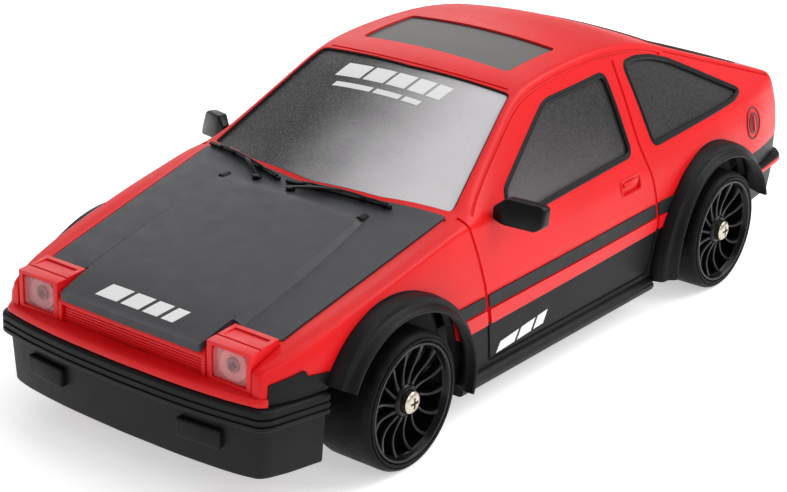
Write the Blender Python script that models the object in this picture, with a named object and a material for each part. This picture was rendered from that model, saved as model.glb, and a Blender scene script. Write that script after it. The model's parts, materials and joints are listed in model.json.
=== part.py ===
"""Remote-control drift car, 1:24 class, four-wheel drive.

The shell, glazing, flares and bumpers sit on a moulded tub that holds the battery, the
circuit board, the steering servo, the motor and the driveline. The nose points to -Y,
the car's left side is +X and the tyres stand on Z = 0. Sizes below are millimetres, and
MM turns them into metres when a mesh is made.
"""
import math

import bmesh
import bpy
from mathutils import Vector

MM = 0.001

# ---- driving dimensions -------------------------------------------------------------
NOSE_Y = -97.5
TAIL_Y = 97.5
FRONT_AXLE_Y = -61.75
REAR_AXLE_Y = 53.75
TYRE_R = 13.5
AXLE_Z = TYRE_R
TYRE_INNER_X = 27.2
TYRE_OUTER_X = 40.7
TYRE_BORE_R = 11.8
RIM_R = 11.5
RIM_WALL = 1.1
SPOKES = 14
WHEEL_SIDES = 24
GAP = 0.3
SHELL_WALL = 1.6
SHELL_BOTTOM_Z = 8.0
ARCH_R = 19.3
ARCH_INNER_X = 31.0
FLARE_X = 41.0
FLARE_LIP_R = 16.5
FLARE_LIP_SPREAD = 2.2
FLARE_EDGE_R = 19.6
FLARE_EDGE_SPREAD = 1.8
FLARE_TUCK = 1.2
WIPER_LIFT = 0.65
KINGPIN_X = 24.5
STEER_ARM = 9.5
TIE_ROD_Y = FRONT_AXLE_Y + STEER_ARM
SERVO_X = 12.0
SERVO_Y = TIE_ROD_Y + STEER_ARM
AXLE_R = 1.5
HUB_PIN_R = 2.0
GEAR_TEETH = 20
PINION_TEETH = 8
SPUR_R = 7.2
PINION_R = SPUR_R * PINION_TEETH / GEAR_TEETH
MOTOR_Y = REAR_AXLE_Y - SPUR_R - PINION_R - 0.15
TOOTH_TIP = 0.5
TOOTH_ROOT = 0.65
BEVEL_R = 6.4
BEVEL_PINION_R = BEVEL_R * PINION_TEETH / GEAR_TEETH
BEVEL_INNER = 0.78
FLOOR_Z = 5.8
FLOOR_T = 1.5

# ---- body lines: (station along the car, value) --------------------------------------
TOP_Z = [(-97, 26.4), (-86, 30.4), (-47, 40.5), (-44.6, 41.1), (-12.5, 58.2), (-2, 60.3), (12, 61.1),
         (26, 60.7), (38, 58.8), (47, 55.9), (88, 41.5), (92.6, 40.5)]
EDGE_X = [(-97, 28.3), (-85, 28.9), (-39.5, 30.9), (-37.3, 31.3), (-10.2, 24.7), (0, 24.4),
          (47, 23.0), (70, 25.2), (92.6, 27.8)]
EDGE_Z = [(-97, 26.4), (-85, 30.2), (-39.5, 40.5), (-37.3, 41.0), (-10.2, 57.4), (0, 58.9),
          (14, 59.5), (26, 59.0), (38, 57.1), (47, 54.4), (91, 40.1), (92.6, 39.5)]
SHOULDER_X = [(-97, 29.4), (-93.4, 30.4), (-90, 31.8), (-86, 32.9), (-75, 33.9), (-58, 34.5),
              (-32, 34.5), (30, 33.8), (60, 33.4), (80, 32.0), (92.6, 29.6)]
SHOULDER_Z = [(-97, 25.2), (-92, 27.7), (-75, 32.6), (-58, 36.3), (-40, 39.7), (-32, 38.9),
              (-24, 37.7), (-5, 36.4), (30, 36.6), (75, 38.0), (92.6, 37.2)]
SWAGE_X = [(-97, 30.0), (-93.4, 31.2), (-90, 32.8), (-86, 34.0), (-80, 35.2), (-60, 35.9), (0, 36.2),
           (60, 36.0), (80, 34.6), (92.6, 31.6)]
SWAGE_Z = [(-97, 23.0), (-60, 26.5), (92.6, 27.0)]
SILL_INSET = 0.8
STATIONS = [-93.4, -91, -86, -78, -70, -62, -54, -48, -44.5, -42, -39, -32, -25, -18, -12, -7, 0, 8,
            16, 26, 36, 44, 48, 56, 66, 76, 85, 90, 92.6]
TOP_FRACTIONS = [0, 0.4, 0.75, 1]

# ---- window outlines: (y, z) on the sides, (x, y) on the top -------------------------
DOOR_WINDOW = [(-23.5, 36.4), (22.4, 38.0), (20.7, 54.8), (-2.5, 54.2), (-23.9, 41.9)]
QUARTER_WINDOW = [(31.6, 37.7), (69.0, 39.0), (73.4, 40.1), (57.9, 47.4), (49, 51.4), (42, 53.6),
                  (35, 54.9), (29.2, 54.9)]
WINDSCREEN = [(-29.6, -37.4), (-16, -41.6), (0, -43.4), (16, -41.6), (29.6, -37.4), (23.4, -12.0),
              (0, -13.4), (-23.4, -12.0)]
HATCH_WINDOW = [(-20.6, 50.5), (20.6, 50.5), (24.2, 83.5), (-24.2, 83.5)]
SUNROOF = [(-18.6, -4.2), (18.6, -4.2), (18.6, 13.2), (-18.6, 13.2)]


def material(name, colour, roughness, metallic=0.0):
    """One Principled material, made once for each name."""
    made = bpy.data.materials.get(name)
    if made is None:
        made = bpy.data.materials.new(name)
        made.use_nodes = True
        shader = made.node_tree.nodes["Principled BSDF"]
        shader.inputs["Base Color"].default_value = (*colour, 1)
        shader.inputs["Roughness"].default_value = roughness
        shader.inputs["Metallic"].default_value = metallic
    return made


def finish_of(name):
    """The part's finish, by a short word."""
    finishes = {
        "red": ((0.72, 0.01, 0.015), 0.35, 0.0), "black": ((0.012, 0.012, 0.013), 0.5, 0.0),
        "glass": ((0.05, 0.05, 0.055), 0.35, 0.6), "screen": ((0.25, 0.25, 0.26), 0.4, 0.6),
        "lens": ((0.85, 0.8, 0.8), 0.08, 0.0), "lamp": ((0.4, 0.01, 0.01), 0.15, 0.0),
        "rubber": ((0.015, 0.015, 0.015), 0.7, 0.0), "rim": ((0.008, 0.008, 0.009), 0.15, 0.0),
        "steel": ((0.6, 0.6, 0.6), 0.3, 1.0), "tub": ((0.02, 0.02, 0.022), 0.55, 0.0),
        "board": ((0.01, 0.12, 0.05), 0.4, 0.0), "cell": ((0.05, 0.15, 0.45), 0.4, 0.0),
        "nylon": ((0.75, 0.74, 0.7), 0.5, 0.0), "brass": ((0.7, 0.5, 0.2), 0.3, 1.0)}
    colour, roughness, metallic = finishes[name]
    return material(name, colour, roughness, metallic)


# ---- mesh helpers --------------------------------------------------------------------
def solid(name, verts, faces, finish, origin=(0, 0, 0), smooth=False):
    """An object from millimetre coordinates, with its faces turned outwards."""
    mesh = bpy.data.meshes.new(name)
    shift = Vector(origin)
    mesh.from_pydata([(Vector(v) - shift) * MM for v in verts], [], faces)
    work = bmesh.new()
    work.from_mesh(mesh)
    bmesh.ops.recalc_face_normals(work, faces=work.faces)
    if work.calc_volume(signed=True) < 0:
        bmesh.ops.reverse_faces(work, faces=work.faces)
    work.to_mesh(mesh)
    work.free()
    mesh.materials.append(finish_of(finish))
    if smooth:
        mesh.shade_smooth()
        mesh.set_sharp_from_angle(angle=math.radians(35))
    made = bpy.data.objects.new(name, mesh)
    made.location = shift * MM
    bpy.context.collection.objects.link(made)
    return made


def ring_faces(rows, count, closed_rows):
    """Quads between successive rings of count points each."""
    faces = []
    last = rows if closed_rows else rows - 1
    for row in range(last):
        a = row * count
        b = (row + 1) % rows * count
        for i in range(count):
            j = (i + 1) % count
            faces.append((a + i, a + j, b + j, b + i))
    return faces


def loft(name, rings, finish, **more):
    """A closed solid through rings of equal point count, capped at both ends."""
    count = len(rings[0])
    verts = [point for ring in rings for point in ring]
    faces = ring_faces(len(rings), count, False)
    faces.append(tuple(range(count)))
    faces.append(tuple((len(rings) - 1) * count + i for i in range(count)))
    return solid(name, verts, faces, finish, **more)


def prism(name, outline, axis, low, high, finish="black", **more):
    """An outline extruded along X, Y or Z. The outline lists the other two axes in order."""
    def place(point, level):
        first, second = point
        if axis == "x":
            return (level, first, second)
        if axis == "y":
            return (first, level, second)
        return (first, second, level)
    rings = [[place(point, level) for point in outline] for level in (low, high)]
    return loft(name, rings, finish, **more)


def box(name, x, y, z, finish="black", **more):
    """A block between low and high limits on each axis."""
    outline = [(x[0], y[0]), (x[1], y[0]), (x[1], y[1]), (x[0], y[1])]
    return prism(name, outline, "z", z[0], z[1], finish, **more)


def circle(centre, radius, sides):
    """Points of a regular outline, with one point at its lowest place."""
    turn = 2 * math.pi / sides
    return [(centre[0] + radius * math.cos(k * turn - math.pi / 2),
             centre[1] + radius * math.sin(k * turn - math.pi / 2)) for k in range(sides)]


def rod(name, axis, centre, radius, low, high, finish="steel", sides=12, **more):
    """A round bar along one axis."""
    return prism(name, circle(centre, radius, sides), axis, low, high, finish, smooth=True, **more)


def lathe(name, profile, y, z, finish, sides=WHEEL_SIDES, hollow=True, **more):
    """A profile of (x, radius) points turned about an X-parallel axis through y, z."""
    rings = []
    for x, radius in profile:
        rings.append([(x, a, b) for a, b in circle((y, z), radius, sides)])
    verts = [point for ring in rings for point in ring]
    faces = ring_faces(len(rings), sides, hollow)
    if not hollow:
        faces.append(tuple(range(sides)))
        faces.append(tuple((len(rings) - 1) * sides + i for i in range(sides)))
    return solid(name, verts, faces, finish, smooth=True, **more)


def hide_tool(tool):
    """Marks an object that only shapes others."""
    tool.hide_render = True
    tool.display_type = "WIRE"


def shape(target, operation, tools):
    """Boolean modifiers on target, one for each tool."""
    for tool in tools:
        modifier = target.modifiers.new(tool.name, "BOOLEAN")
        modifier.operation = operation
        modifier.object = tool
        hide_tool(tool)
    return target


def cut(target, *tools):
    return shape(target, "DIFFERENCE", tools)


def join(target, *tools):
    return shape(target, "UNION", tools)


def mirrored(points):
    """A half outline and its reflection in X, as one closed outline."""
    return list(points) + [(-x, other) for x, other in reversed(points)]


def mirror_name(base, side):
    return base + ("_left" if side > 0 else "_right")


# ---- body surface --------------------------------------------------------------------
def value(line, y):
    """The value of a body line at one station."""
    if y <= line[0][0]:
        return line[0][1]
    for (y0, v0), (y1, v1) in zip(line, line[1:]):
        if y <= y1:
            return v0 + (v1 - v0) * (y - y0) / (y1 - y0)
    return line[-1][1]


def half_section(y, depth=0.0):
    """Points from the centre of the top, over the edge and shoulder, to the sill.

    With a depth, the whole section lies that far inside the body's skin.
    """
    top = value(TOP_Z, y) - depth
    edge_x, edge_z = value(EDGE_X, y), value(EDGE_Z, y)
    shoulder_x, shoulder_z = value(SHOULDER_X, y), value(SHOULDER_Z, y)
    steep = (edge_z - shoulder_z) / math.hypot(shoulder_x - edge_x, edge_z - shoulder_z)
    edge = (edge_x - 0.8 * depth * steep, edge_z - depth)
    shoulder = (shoulder_x - depth, shoulder_z - depth * (1 - steep))
    swage = (value(SWAGE_X, y) - depth, value(SWAGE_Z, y))
    sill = (swage[0] - SILL_INSET, SHELL_BOTTOM_Z)
    points = [(edge[0] * f, edge[1] + (top - edge[1]) * (1 - f * f)) for f in TOP_FRACTIONS]
    points.append(((edge[0] + shoulder[0]) / 2 + 0.3, (edge[1] + shoulder[1]) / 2 + 0.2))
    points.append(shoulder)
    points.append((shoulder[0] * 0.3 + swage[0] * 0.7, shoulder[1] * 0.55 + swage[1] * 0.45))
    points.append(swage)
    points.append((swage[0] - SILL_INSET * 0.3, (swage[1] + sill[1]) / 2))
    points.append(sill)
    return points


def body_loft(name, depth, end_inset, floor, finish="red"):
    """The body's outer form, moved inwards by depth and closed at height floor."""
    rings = []
    for y in STATIONS:
        along = min(max(y, STATIONS[0] + end_inset), STATIONS[-1] - end_inset)
        if rings and abs(along - rings[-1][0][1]) < 0.5:
            continue
        half = half_section(along, depth)
        half[-1] = (half[-1][0], floor)
        outline = [(-x, z) for x, z in reversed(half[1:])] + half
        rings.append([(x, along, z) for x, z in outline])
    return loft(name, rings, finish)


def body_side_x(y, z):
    """Half width of the body at one station and height."""
    points = half_section(y)
    for (x0, z0), (x1, z1) in zip(points, points[1:]):
        if z1 <= z <= z0 and z0 > z1:
            return x0 + (x1 - x0) * (z0 - z) / (z0 - z1)
    return points[-1][0]


def grow(outline, amount):
    """A convex outline moved outwards from its middle by about amount."""
    cx = sum(p[0] for p in outline) / len(outline)
    cy = sum(p[1] for p in outline) / len(outline)
    moved = []
    for px, py in outline:
        reach = math.hypot(px - cx, py - cy)
        moved.append((px + (px - cx) / reach * amount, py + (py - cy) / reach * amount))
    return moved


def glazing(name, outline, axis, low, high, finish):
    """A pane that follows the body surface inside one opening."""
    pane = prism(name, grow(outline, -0.45), axis, low, high, finish)
    outer = body_loft(name + "_outer", 0.35, 0.4, 4)
    inner = body_loft(name + "_inner", 1.45, 1.5, 3)
    shape(pane, "INTERSECT", [outer])
    return cut(pane, inner)


def make_shell():
    """The painted shell with its window, arch, lamp and bumper openings."""
    shell = body_loft("body_shell", 0, 0, SHELL_BOTTOM_Z)
    cut(shell, body_loft("shell_hollow", SHELL_WALL, 2 * SHELL_WALL, SHELL_BOTTOM_Z - 4))
    cutters = [
        prism("door_window_cut", DOOR_WINDOW, "x", -50, 50),
        prism("quarter_window_cut", QUARTER_WINDOW, "x", -50, 50),
        prism("windscreen_cut", WINDSCREEN, "z", 36, 70),
        prism("hatch_window_cut", HATCH_WINDOW, "z", 36, 70),
        prism("sunroof_cut", SUNROOF, "z", 50, 70),
        box("front_bumper_cut", (-60, 60), (-110, -74), (0, 21.5)),
        box("rear_bumper_cut", (-60, 60), (66, 110), (0, 20.8)),
        box("tail_lamp_cut", (-26, 26), (88, 110), (25.8, 34.2)),
        box("pod_cut_left", (18.3, 29.1), (-110, -85.7), (21.9, 40)),
        box("pod_cut_right", (-29.1, -18.3), (-110, -85.7), (21.9, 40))]
    for side in (1, -1):
        low, high = sorted((side * ARCH_INNER_X, side * 60))
        for axle_name, y in (("front", FRONT_AXLE_Y), ("rear", REAR_AXLE_Y)):
            tool = mirror_name("arch_cut_" + axle_name, side)
            cutters.append(rod(tool, "x", (y, AXLE_Z), ARCH_R, low, high, sides=28))
    cut(shell, *cutters)


def make_glazing():
    """Windscreen, hatch window, sunroof panel and side windows."""
    glazing("windscreen", WINDSCREEN, "z", 36, 70, "screen")
    glazing("hatch_window", HATCH_WINDOW, "z", 36, 70, "glass")
    glazing("sunroof_panel", SUNROOF, "z", 50, 70, "glass")
    for side in (1, -1):
        low, high = sorted((side * 15, side * 50))
        glazing(mirror_name("door_window", side), DOOR_WINDOW, "x", low, high, "glass")
        glazing(mirror_name("quarter_window", side), QUARTER_WINDOW, "x", low, high, "glass")


def bumper_ring(half, level, toward, depth):
    """A U-shaped bumper outline at one height, open on the side of the car's middle."""
    inner = [(max(x - depth, 0.01), y + toward * depth) for x, y in half[:-1]]
    inner.append((half[-1][0] - depth, half[-1][1]))
    path = [(-x, y) for x, y in reversed(half)] + half
    path += list(reversed(inner)) + [(-x, y) for x, y in inner]
    return [(x, y, level) for x, y in path]


def make_bumpers():
    """Front and rear bumpers: a proud strip above an inset lower face."""
    front = [(0.01, NOSE_Y), (14, -97.2), (24, -96.3), (32.2, -94.9), (33.5, -93.2), (36.35, -80.7)]
    rear = [(0.01, TAIL_Y), (14, 97.3), (24, 96.9), (30.6, 96.0), (33.8, 92), (36.0, 74.2)]
    for name, half, toward, levels in (
            ("front_bumper", front, 1, [(6.8, 1.6, 2.4), (16.4, 1.0, 3.0), (17.0, 0, 5.2), (21.2, 0, 5.2)]),
            ("rear_bumper", rear, -1, [(11.6, 1.8, 2.4), (18.2, 1.0, 4.0), (18.7, 0, 5.6), (20.5, 0, 5.6)])):
        rings = []
        for level, step, depth in levels:
            line = [(max(x - step, 0.01), y + toward * step) for x, y in half[:-1]]
            line.append((half[-1][0] - step, half[-1][1]))
            rings.append(bumper_ring(line, level, toward, depth))
        loft(name, rings, "black")


def make_flares():
    """Four arch flares, each a lip swept about its axle with a foot at the sill."""
    steps = 15
    for axle_name, axle_y, sill_way, lip_foot, edge_foot in (
            ("front", FRONT_AXLE_Y, 1, 0.6, 1.0), ("rear", REAR_AXLE_Y, -1, 1.9, 2.6)):
        for side in (1, -1):
            rings = []
            for k in range(steps):
                angle = math.radians(-65 + (105 + 65) * k / (steps - 1))
                foot = min(max((math.degrees(angle) - 55) / 50, 0), 1) ** 1.6
                spread = math.sin(angle) ** 2
                lip = FLARE_LIP_R + FLARE_LIP_SPREAD * spread + lip_foot * foot
                edge = FLARE_EDGE_R + FLARE_EDGE_SPREAD * spread + edge_foot * foot
                along = math.sin(angle) * sill_way
                beside = body_side_x(axle_y + edge * along, AXLE_Z + edge * math.cos(angle))
                wall = max(beside, 34.2) + GAP
                outer = FLARE_X - FLARE_TUCK * (1 - spread)
                profile = [(wall + 0.4, edge - 1.0), (wall, edge), (wall + 0.8, edge),
                           (outer - 1.8, lip + 1.6), (outer - 0.5, lip + 1.0), (outer, lip + 0.5),
                           (outer - 0.3, lip), (outer - 2.2, lip + 0.2)]
                rings.append([(side * x, axle_y + r * along, AXLE_Z + r * math.cos(angle))
                              for x, r in profile])
            loft(mirror_name("arch_flare_" + axle_name, side), rings, "black")


def make_skirts_mirrors_lamps():
    """Side skirts, door mirrors, wipers, headlamp pods and lenses, tail lamps."""
    skirt = [(33.6, 5.4), (36.0, 5.4), (36.7, 6.1), (36.7, 7.5), (33.6, 7.5)]
    for side in (1, -1):
        outline = [(side * x, z) for x, z in skirt]
        prism(mirror_name("side_skirt", side), outline, "y", -39.0, 29.2)
        name = mirror_name("side_mirror", side)
        head = [[(34.9, -30.6, 39.0), (34.9, -28.4, 39.0), (34.9, -28.4, 41.4), (34.9, -30.6, 41.4)],
                [(36.6, -30.6, 38.2), (36.6, -27.4, 38.2), (36.6, -26.8, 43.2), (36.6, -29.6, 43.4)],
                [(42.6, -28.2, 37.4), (42.6, -24.0, 37.4), (42.6, -23.4, 42.0), (42.6, -26.4, 42.4)],
                [(43.6, -27.0, 38.2), (43.6, -24.4, 38.2), (43.6, -24.0, 41.4), (43.6, -26.0, 41.6)]]
        loft(name, [[(side * x, y, z) for x, y, z in ring] for ring in head], "black")
        low, high = sorted((side * 18.6, side * 28.8))
        pod = prism(mirror_name("headlamp_pod", side),
                    [(-93.3, 22.2), (-86.0, 22.2), (-86.0, 31.0), (-93.3, 30.3)], "x", low, high, "red")
        low, high = sorted((side * 19.5, side * 28.0))
        cut(pod, box(mirror_name("lens_pocket", side), (low, high), (-100, -91.8), (23.4, 29.9)))
        low, high = sorted((side * 19.8, side * 27.7))
        box(mirror_name("headlamp_lens", side), (low, high), (-93.1, -92.1), (23.7, 29.6), "lens")
    box("tail_lamp_panel", (-25.7, 25.7), (91.2, 92.3), (26.1, 33.9), "lamp")
    for name, start, end in (("wiper_right", (-29.2, -39.6), (-5.4, -45.9)),
                             ("wiper_left", (-3.6, -46.0), (20.4, -43.6))):
        rings = []
        for x, y in (start, end):
            z = value(TOP_Z, y) - (value(TOP_Z, y) - value(EDGE_Z, y)) * (x / 30) ** 2 + WIPER_LIFT
            rings.append([(x, y, z), (x, y - 0.9, z), (x, y - 0.9, z + 0.8), (x, y, z + 0.8)])
        loft(name, rings, "black")


# ---- wheels --------------------------------------------------------------------------
def place_x(profile, side):
    return [(side * x, radius) for x, radius in profile]


def make_wheel(label, side, y):
    """Tyre, spoked rim and hub screw of one wheel."""
    centre = (side * (TYRE_INNER_X + TYRE_OUTER_X) / 2, y, AXLE_Z)
    tyre = [(27.4, TYRE_BORE_R), (27.2, 12.6), (27.9, 13.3), (28.9, TYRE_R), (39.2, TYRE_R),
            (40.2, 13.2), (40.7, 12.5), (40.4, TYRE_BORE_R)]
    lathe("tyre_" + label, place_x(tyre, side), y, AXLE_Z, "rubber", origin=centre)
    barrel = [(27.6, RIM_R), (40.5, RIM_R), (40.5, 10.9), (39.2, RIM_R - RIM_WALL),
              (27.6, RIM_R - RIM_WALL)]
    rim = lathe("rim_" + label, place_x(barrel, side), y, AXLE_Z, "rim", origin=centre)
    hub_profile = [(32.0, 2.3), (32.0, 3.4), (39.4, 3.4), (39.4, 1.5), (36.6, 1.5), (36.6, 2.3)]
    hub = lathe("hub_" + label, place_x(hub_profile, side), y, AXLE_Z, "rim", sides=14)
    verts = []
    faces = []
    for k in range(SPOKES):
        turn = 2 * math.pi * (k + 0.5) / SPOKES
        for reach, width in ((3.1, 0.4), (10.8, 0.5)):
            for x in (37.4, 39.2):
                for lean in (-1, 1):
                    along = (reach * math.cos(turn) - lean * width * math.sin(turn),
                             reach * math.sin(turn) + lean * width * math.cos(turn))
                    verts.append((side * x, y + along[0], AXLE_Z + along[1]))
        b = 8 * k
        faces += [(b, b + 1, b + 3, b + 2), (b + 4, b + 6, b + 7, b + 5), (b, b + 4, b + 5, b + 1),
                  (b + 2, b + 3, b + 7, b + 6), (b, b + 2, b + 6, b + 4), (b + 1, b + 5, b + 7, b + 3)]
    spokes = solid("spokes_" + label, verts, faces, "rim")
    join(rim, spokes, hub)
    screw_profile = [(36.4, 1.1), (39.8, 1.1), (39.8, 2.0), (40.8, 1.6)]
    screw = lathe("wheel_screw_" + label, place_x(screw_profile, side), y, AXLE_Z, "steel",
                  sides=12, hollow=False, origin=centre)
    low, high = sorted((side * 40.2, side * 42))
    cut(screw, box("cross_a_" + label, (low, high), (y - 1.1, y + 1.1), (AXLE_Z - 0.25, AXLE_Z + 0.25)),
        box("cross_b_" + label, (low, high), (y - 0.25, y + 0.25), (AXLE_Z - 1.1, AXLE_Z + 1.1)))


# ---- gears ---------------------------------------------------------------------------
def tooth_angles(teeth, start):
    """Angles and heights, four for each tooth: root, tip, tip, root."""
    pitch = 2 * math.pi / teeth
    listed = []
    for k in range(teeth):
        for share, high in ((-0.28, 0), (-0.12, 1), (0.12, 1), (0.28, 0)):
            listed.append((start + (k + share) * pitch, high))
    return listed


def gear_rows(rows, teeth, start, about, origin, finish, name):
    """A turned gear: each row gives (axial, radius) for roots and for tips."""
    verts = []
    angles = tooth_angles(teeth, start)
    for root, tip in rows:
        for angle, high in angles:
            axial, radius = tip if high else root
            across = (radius * math.cos(angle), radius * math.sin(angle))
            offset = (axial, across[0], across[1]) if about == "x" else (across[0], axial, across[1])
            verts.append(tuple(o + p for o, p in zip(origin, offset)))
    faces = ring_faces(len(rows), len(angles), True)
    return solid(name, verts, faces, finish, origin=origin)


def plain(axial, radius):
    return ((axial, radius), (axial, radius))


def bevel_rows(size, pitch_axial, pitch_radius, way):
    """Root and tip of a bevel gear's outer or inner end, scaled towards the shared apex."""
    slant = math.hypot(pitch_axial, pitch_radius)
    normal = (-pitch_radius / slant, pitch_axial / slant)
    root = (way * size * (pitch_axial - normal[0] * TOOTH_ROOT), size * (pitch_radius - normal[1] * TOOTH_ROOT))
    tip = (way * size * (pitch_axial + normal[0] * TOOTH_TIP), size * (pitch_radius + normal[1] * TOOTH_TIP))
    return (root, tip)


def crown_rows(way):
    """Crown wheel on an axle: tooth ends, back and a hub sleeve."""
    return [plain(way * 1.2, 3.2), bevel_rows(BEVEL_INNER, BEVEL_PINION_R, BEVEL_R, way),
            bevel_rows(1, BEVEL_PINION_R, BEVEL_R, way), plain(way * 4.6, BEVEL_R), plain(way * 5.4, 3.6)]


def make_driveline():
    """Motor, gears, shafts and axles, from the motor to the front wheels."""
    rear = (0, REAR_AXLE_Y, AXLE_Z)
    spur_root = SPUR_R - TOOTH_ROOT
    spur_tip = SPUR_R + TOOTH_TIP
    rows = [plain(-8.2, 1.8), ((-8.0, spur_root), (-8.0, spur_tip)),
            ((-5.0, spur_root), (-5.0, spur_tip)), plain(-4.8, 3.2)]
    rows += crown_rows(1) + [plain(5.4, 1.8)]
    gear_rows(rows, GEAR_TEETH, 0, "x", rear, "nylon", "rear_drive_gear")
    thick = [(-36, HUB_PIN_R), (-24, HUB_PIN_R), (-24, AXLE_R), (24, AXLE_R), (24, HUB_PIN_R),
             (36, HUB_PIN_R)]
    lathe("rear_axle_shaft", thick, REAR_AXLE_Y, AXLE_Z, "steel", sides=12, hollow=False, origin=rear)

    motor = (0, MOTOR_Y, AXLE_Z)
    pinion_root = PINION_R - TOOTH_ROOT
    pinion_tip = PINION_R + TOOTH_TIP
    rows = [plain(-8.4, 0.9), ((-8.4, pinion_root), (-8.4, pinion_tip)),
            ((-4.7, pinion_root), (-4.7, pinion_tip)), plain(-4.7, 0.4), plain(-13.6, 0.4),
            plain(-13.6, 0.9)]
    gear_rows(rows, PINION_TEETH, math.pi / PINION_TEETH, "x", motor, "brass", "motor_pinion")
    half_y, half_z, corner = 7.4, 5.7, 3.2
    can = [(half_y, half_z - corner), (half_y - corner, half_z), (corner - half_y, half_z),
           (-half_y, half_z - corner), (-half_y, corner - half_z), (corner - half_y, -half_z),
           (half_y - corner, -half_z), (half_y, corner - half_z)]
    body = prism("drive_motor", [(MOTOR_Y + a, AXLE_Z + b) for a, b in can], "x", -24.6, -10.8, "steel")
    join(body, rod("motor_boss", "x", (MOTOR_Y, AXLE_Z), 2.6, -11.5, -9.6, sides=12))
    cut(body, rod("motor_bore", "x", (MOTOR_Y, AXLE_Z), 1.3, -14.4, -9, sides=12))

    far = BEVEL_PINION_R
    shaft = rod("center_shaft", "y", (0, AXLE_Z), 1.25, FRONT_AXLE_Y + BEVEL_R * BEVEL_INNER + 0.2,
                REAR_AXLE_Y - BEVEL_R * BEVEL_INNER - 0.2, origin=(0, 0, AXLE_Z))
    for name, axle_y, way in (("bevel_rear", REAR_AXLE_Y, -1), ("bevel_front", FRONT_AXLE_Y, 1)):
        rows = [bevel_rows(BEVEL_INNER, BEVEL_R, far, way), bevel_rows(1, BEVEL_R, far, way),
                plain(way * (BEVEL_R + 1.6), 2.4), plain(way * (BEVEL_R + 1.6), 0.5),
                plain(way * BEVEL_R * 0.8, 0.5)]
        pinion = gear_rows(rows, PINION_TEETH, math.pi / PINION_TEETH, "y", (0, axle_y, AXLE_Z),
                           "nylon", name)
        join(shaft, pinion)

    front = (0, FRONT_AXLE_Y, AXLE_Z)
    sleeve = [(-12.2, 2.6), (-12.2, 3.5), (12.2, 3.5), (12.2, 2.6), (7.0, 2.6), (6.6, 0.4),
              (-6.6, 0.4), (-7.0, 2.6)]
    spool = lathe("front_axle_spool", sleeve, FRONT_AXLE_Y, AXLE_Z, "nylon", sides=14, origin=front)
    crown = gear_rows(crown_rows(-1) + [plain(-5.4, 3.0), plain(-1.2, 3.0)], GEAR_TEETH, 0, "x", front,
                      "nylon", "front_crown")
    join(spool, crown)
    cut(spool, box("spool_slot", (9.0, 13), (FRONT_AXLE_Y - 5, FRONT_AXLE_Y + 5), (AXLE_Z - 0.85, AXLE_Z + 0.85)),
        box("spool_slot_far", (-13, -9.0), (FRONT_AXLE_Y - 5, FRONT_AXLE_Y + 5), (AXLE_Z - 0.85, AXLE_Z + 0.85)))


def make_front_corner(side):
    """Dogbone, stub axle and steering knuckle of one front wheel."""
    y, z = FRONT_AXLE_Y, AXLE_Z
    inner_ball = 10.2
    profile = []
    for k in range(5):
        angle = math.pi * k / 4.6
        profile.append((inner_ball - 2.0 * math.cos(angle), 0.3 + 1.7 * math.sin(angle)))
    profile[-1] = (inner_ball + 2.0, 1.0)
    far = [(KINGPIN_X - (x - inner_ball), r) for x, r in reversed(profile)]
    name = mirror_name("dogbone", side)
    bone = lathe(name, place_x(profile + far, side), y, z, "steel", sides=10, hollow=False,
                 origin=(side * KINGPIN_X, y, z))
    for tag, x in (("_pin_inner", inner_ball), ("_pin_outer", KINGPIN_X)):
        join(bone, rod(name + tag, "y", (side * x, z), 0.5, y - 3.1, y + 3.1, sides=6))

    cup = [(22.2, 2.6), (22.2, 3.5), (27.6, 3.5), (28.0, HUB_PIN_R), (36, HUB_PIN_R), (36, 0.4),
           (27.0, 0.4), (26.8, 2.6)]
    name = mirror_name("stub_axle", side)
    stub = lathe(name, place_x(cup, side), y, z, "steel", sides=12, origin=(side * KINGPIN_X, y, z))
    low, high = sorted((side * 21, side * 26.6))
    cut(stub, box(name + "_slot", (low, high), (y - 5, y + 5), (z - 0.85, z + 0.85)))

    carrier = [(22.6, 4.0), (22.6, 5.4), (31.5, 5.4), (31.5, 2.4), (28.6, 2.4), (28.6, 4.0)]
    name = mirror_name("steering_knuckle", side)
    knuckle = lathe(name, place_x(carrier, side), y, z, "tub", sides=16, origin=(side * KINGPIN_X, y, z))
    centre = (side * KINGPIN_X, y)
    arm_y = y + STEER_ARM
    low, high = sorted((side * (KINGPIN_X - 1.2), side * (KINGPIN_X + 1.2)))
    join(knuckle, rod(name + "_pin_top", "z", centre, 1.1, z + 4.8, z + 7.6, sides=10),
         rod(name + "_pin_bottom", "z", centre, 1.1, z - 7.6, z - 4.8, sides=10),
         box(name + "_arm", (low, high), (y + 2.6, arm_y + 1.2), (z + 2.4, z + 4.0)),
         rod(name + "_arm_pin", "z", (side * KINGPIN_X, arm_y), 0.6, z + 3.6, z + 6.5, sides=8))


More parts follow.
